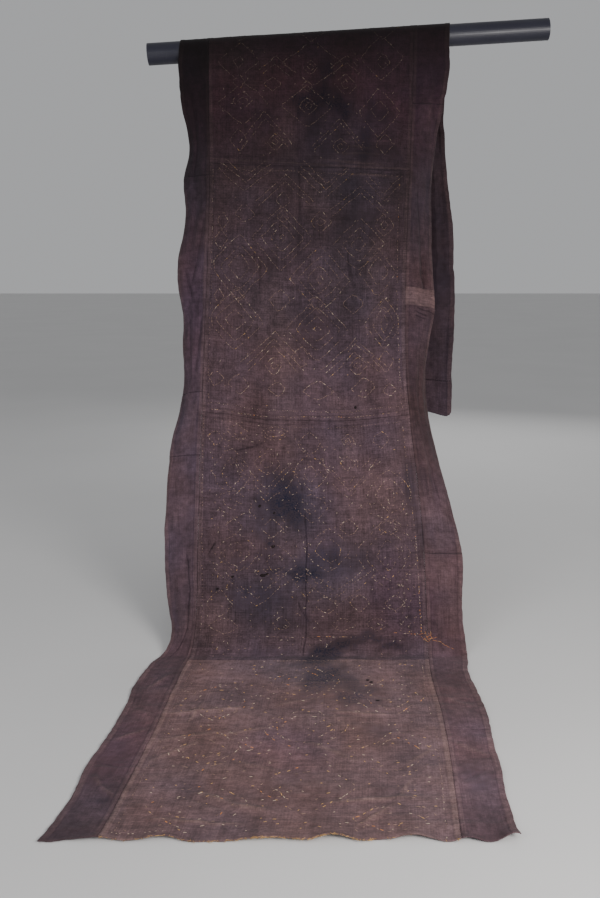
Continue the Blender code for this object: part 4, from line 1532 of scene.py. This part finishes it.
# %% Loose thread and frayed fibres
LOOSE_THREAD = (
    (0.270, 0.815), (0.292, 0.818), (0.300, 0.804), (0.290, 0.792), (0.281, 0.800),
    (0.296, 0.812), (0.306, 0.796), (0.322, 0.792), (0.334, 0.780), (0.358, 0.768),
)
FRAYED = (
    ((0.284, 0.820), (0.290, 0.800)), ((0.298, 0.822), (0.300, 0.806)),
    ((0.292, 0.800), (0.312, 0.806)), ((0.276, 0.806), (0.286, 0.792)),
)
# middle, spread and number of the fibres that stick out of the near edge
NEAR_FIBRES = (
    (-0.030, 0.030, 46), (0.068, 0.026, 34), (0.130, 0.020, 26), (-0.150, 0.050, 24), (0.000, 0.280, 36),
)
THREAD_SHARES = {"orange": 0.75, "gold": 0.25}
for thread in (LOOSE_THREAD, *FRAYED):
    STITCHES["panel_lower"] += lay_stitches(np.array(thread), 0.0062, 0.0074, THREAD_SHARES, 0.16, 0.0008)

for place, spread, count in NEAR_FIBRES:
    for _ in range(count):
        across = float(np.clip(hand.normal(place, spread), -0.285, 0.285))
        colour = np.array(STITCH_COLOURS["gold"]) * hand.uniform(0.6, 1.2)
        turn = math.pi / 2 + hand.normal(0, 0.8)
        along, length = hand.uniform(-0.004, 0.001), hand.uniform(0.005, 0.012)
        STITCHES["panel_floor"].append([across, along, turn, length, 0.0007, *colour])

# panel, across, along, direction, length, width: dried dark spots
SPOTS = (
    ("panel_lower", -0.122, 0.986, 0.1, 0.0190, 0.0100), ("panel_lower", -0.112, 0.990, 0.3, 0.0120, 0.0070),
    ("panel_lower", -0.130, 1.184, 0.9, 0.0110, 0.0080), ("panel_lower", -0.200, 0.978, 0.6, 0.0100, 0.0060),
    ("panel_lower", -0.092, 1.166, 1.2, 0.0080, 0.0060), ("panel_lower", -0.238, 0.942, 0.4, 0.0090, 0.0070),
    ("panel_lower", -0.2525, 1.058, 1.14, 0.0400, 0.0060),
    ("panel_middle", 0.142, 1.466, 1.5, 0.0090, 0.0080),
    ("panel_lower", -0.096, 1.070, 0.3, 0.0140, 0.0090), ("panel_floor", 0.142, 0.606, 1.4, 0.0130, 0.0090),
    ("panel_floor", 0.150, 0.596, 0.4, 0.0100, 0.0070), ("panel_floor", 0.160, 0.505, 0.2, 0.0110, 0.0070),
)
for name, across, along, turn, length, width in SPOTS:
    STITCHES[name].append([across, along, turn, length, width, *STITCH_COLOURS["dark"]])
print("with thread and fibres:", sum(len(found) for found in STITCHES.values()))

# %% [markdown]
# ### One stitch, made once
# A stitch is a small grain: a sphere with few faces, pulled long. It is made once and doubled until there
# are enough, and each copy is then set in place on the cloth's surface. Its ends bend down, as they dive
# into the weave. One with 24 faces is plenty, because there are thousands.

# %% Make the stitches of a panel
STITCH_HEIGHT = 0.0009
STITCH_LIFT = 0.00018
STITCH_DIVE = 0.0009


def grain_shape():
    """One stitch's mesh: 1 long, 1 wide and 1 high."""
    shape = bmesh.new()
    bmesh.ops.create_uvsphere(shape, u_segments=6, v_segments=3, radius=0.5)
    bmesh.ops.rotate(shape, verts=shape.verts, matrix=Matrix.Rotation(math.pi / 2, 3, "Y"))
    return shape


def many(shape, count):
    """Double what is in a mesh until there are enough, number the copies, and delete the rest."""
    number = shape.verts.layers.int.new("number")
    made = 1
    while made < count:
        copies = bmesh.ops.duplicate(shape, geom=shape.verts[:] + shape.edges[:] + shape.faces[:])["geom"]
        for point in copies:
            if isinstance(point, bmesh.types.BMVert):
                point[number] += made
        made *= 2
    extra = [point for point in shape.verts if point[number] >= count]
    bmesh.ops.delete(shape, geom=extra, context="VERTS")


def stitch_mesh(name, found, finish):
    """All stitches of one panel as one piece on its surface."""
    shape = grain_shape()
    many(shape, len(found))
    mesh = mesh_of(shape, name)
    grain = point_places(mesh)
    number = np.empty(len(mesh.vertices), dtype=np.int32)
    mesh.attributes["number"].data.foreach_get("value", number)
    across, along, turn, length, width = np.array(found)[:, :5].T
    right, ahead, normal = directions(cloth_place, across, along)
    lie = right * np.cos(turn)[:, None] + ahead * np.sin(turn)[:, None]
    lie -= normal * np.sum(lie * normal, axis=-1, keepdims=True)
    lie /= np.linalg.norm(lie, axis=-1, keepdims=True)
    aside = np.cross(normal, lie)
    rise = THICKNESS / 2 + STITCH_LIFT - STITCH_DIVE * grain[:, 0] ** 2
    spots = cloth_place(across, along)[number]
    spots += grain[:, :1] * (length[:, None] * lie)[number] + grain[:, 1:2] * (width[:, None] * aside)[number]
    spots += (grain[:, 2] * STITCH_HEIGHT + rise)[:, None] * normal[number]
    mesh.vertices.foreach_set("co", spots.ravel())
    # the stitches take the cloth's painted shade too, darkest towards the rod
    shaded_dyes = np.array(found)[:, 5:8] * dye_and_shade(across, along)[:, None] ** 0.9
    colours = np.hstack([shaded_dyes, np.ones((len(found), 1))])[number].astype(np.float32)
    mesh.color_attributes.new("dye", "FLOAT_COLOR", "POINT").data.foreach_set("color", colours.ravel())
    mesh.shade_smooth()
    mesh.materials.append(finish)
    piece = put_in_scene(name, mesh)
    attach(piece, "root")
    return piece


shape = grain_shape()
print("one stitch has", len(shape.verts), "points and", len(shape.faces), "faces")
shape.free()

# %% Stitch finish, and all stitches
def stitch_finish():
    """Undyed or darkened raffia strands, each with the colour painted on its points, painted shade included.
    """
    made, tree, shader = new_finish("stitch raffia")
    dye = add_node(tree, "Attribute", {}, attribute_name="dye").outputs["Color"]
    place = add_node(tree, "TexCoord", {}).outputs["Object"]
    fibre = stretched_noise(tree, place, (900.0, 900.0, 900.0), 2.0)
    bright = reckon(tree, "MULTIPLY_ADD", fibre, 0.9, 0.55)
    fill_inputs(tree, shader, {
        "Base Color": brightened(tree, dye, bright),
        "Normal": bumped(tree, 0.4, 0.0002, fibre),
        "Roughness": reckon(tree, "MULTIPLY_ADD", fibre, 0.3, 0.50),
        "Specular IOR Level": 0.2,
        "Sheen Weight": 0.04,
    })
    return made


STITCH_FINISH = stitch_finish()
ON_SHEET = {name: [] for name in SHEETS}
for name, found in STITCHES.items():
    ON_SHEET[name].append(stitch_mesh("stitches_" + name, found, STITCH_FINISH))
print("stitch triangles:", sum(len(found) for found in STITCHES.values()) * 24)

# %% Sheets
print("sheets declared:", len(SHEETS))

# %% [markdown]
# ## The rod
# The rod is a plain round bar with dark satin paint. Its solid already has the right shape, so it stays and
# only gets its paint: nearly black with a blue tint, a little orange-peel in the gloss and faint scuffs
# where cloth was drawn over it.

# %% Rod paint
def rod_paint():
    """Satin blue-black paint with fine unevenness and scuffs round the rod."""
    made, tree, shader = new_finish("rod paint")
    place = add_node(tree, "TexCoord", {}).outputs["Object"]
    cloudy = stretched_noise(tree, place, (9.0, 30.0, 30.0), 4.0)
    scuffs = stretched_noise(tree, place, (420.0, 30.0, 30.0), 3.0)
    peel = stretched_noise(tree, place, (260.0, 260.0, 260.0), 2.0)
    rubbed = add_node(tree, "ValToRGB", {0: scuffs}).outputs[0]
    ramp = rubbed.node.color_ramp
    ramp.elements[0].position, ramp.elements[1].position = 0.60, 0.78
    colour = blend_colours(tree, cloudy, (0.010, 0.010, 0.020, 1.0), (0.020, 0.020, 0.036, 1.0))
    colour = blend_colours(tree, reckon(tree, "MULTIPLY", rubbed, 0.35), colour, (0.060, 0.060, 0.075, 1.0))
    rough = reckon(tree, "MULTIPLY_ADD", cloudy, 0.25, 0.27)
    normal = bumped(tree, 0.25, 0.0004, peel)
    fill_inputs(tree, shader, {"Base Color": colour, "Roughness": rough, "Normal": normal})
    return made


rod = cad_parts["rod"]
ROD_FINISH = rod_paint()
for slot in rod.material_slots:
    slot.material = ROD_FINISH
print("rod painted, slots:", len(rod.material_slots))

# %% [markdown]
# ## Floor and light
# A plain pale floor and a pale room. A large soft lamp stands low on the right, so the cloth is brightest
# near the floor and on its right side as in the picture, and a weaker one fills from the left.

# %% Floor
FLOOR_REACH = 30


def floor_finish():
    """Matt pale floor with very faint mottling."""
    made, tree, shader = new_finish("pale floor")
    place = add_node(tree, "TexCoord", {}).outputs["Object"]
    soft = stretched_noise(tree, place, (1.5, 1.5, 1.5), 3.0)
    colour = blend_colours(tree, soft, (0.60, 0.595, 0.59, 1.0), (0.66, 0.655, 0.65, 1.0))
    fill_inputs(tree, shader, {"Base Color": colour, "Roughness": 0.75})
    return made


shape = bmesh.new()
bmesh.ops.create_grid(shape, x_segments=1, y_segments=1, size=FLOOR_REACH)
bmesh.ops.translate(shape, verts=shape.verts, vec=(0, 0, -FLOOR_BELOW))
mesh = mesh_of(shape, "floor")
mesh.materials.append(floor_finish())
floor = put_in_scene("floor", mesh)
print("floor at", -FLOOR_BELOW)

# %% Lamps and room
# name, place, target, size, power, colour
LAMPS = (
    ("key", (1.1, -2.7, -0.45), (-0.1, -0.8, -1.3), 0.9, 54, (1.0, 0.97, 0.95)),
    ("fill", (-1.9, -2.6, -0.3), (-0.1, -0.5, -1.1), 1.6, 20, (0.96, 0.97, 1.0)),
    ("back", (0.9, 2.6, 0.4), (0.0, 0.1, -0.6), 2.0, 26, (1.0, 1.0, 1.0)),
)
ROOM_COLOUR = (0.92, 0.93, 0.95, 1.0)
ROOM_STRENGTH = 0.45


def soft_lamp(name, place, target, size, power, colour):
    """A large square lamp that looks at a point."""
    lamp = bpy.data.lights.new(name, "AREA")
    lamp.size = size
    lamp.energy = power
    lamp.color = colour
    made = put_in_scene(name, lamp)
    made.location = place
    away = np.subtract(place, target)
    turn = math.atan2(away[0], -away[1])
    made.rotation_euler = (math.atan2(math.hypot(away[0], away[1]), away[2]), 0, turn)


for lamp in LAMPS:
    soft_lamp(*lamp)
room = bpy.data.worlds.new("room")
room.use_nodes = True
background = room.node_tree.nodes["Background"]
fill_inputs(room.node_tree, background, {"Color": ROOM_COLOUR, "Strength": ROOM_STRENGTH})
bpy.context.scene.world = room
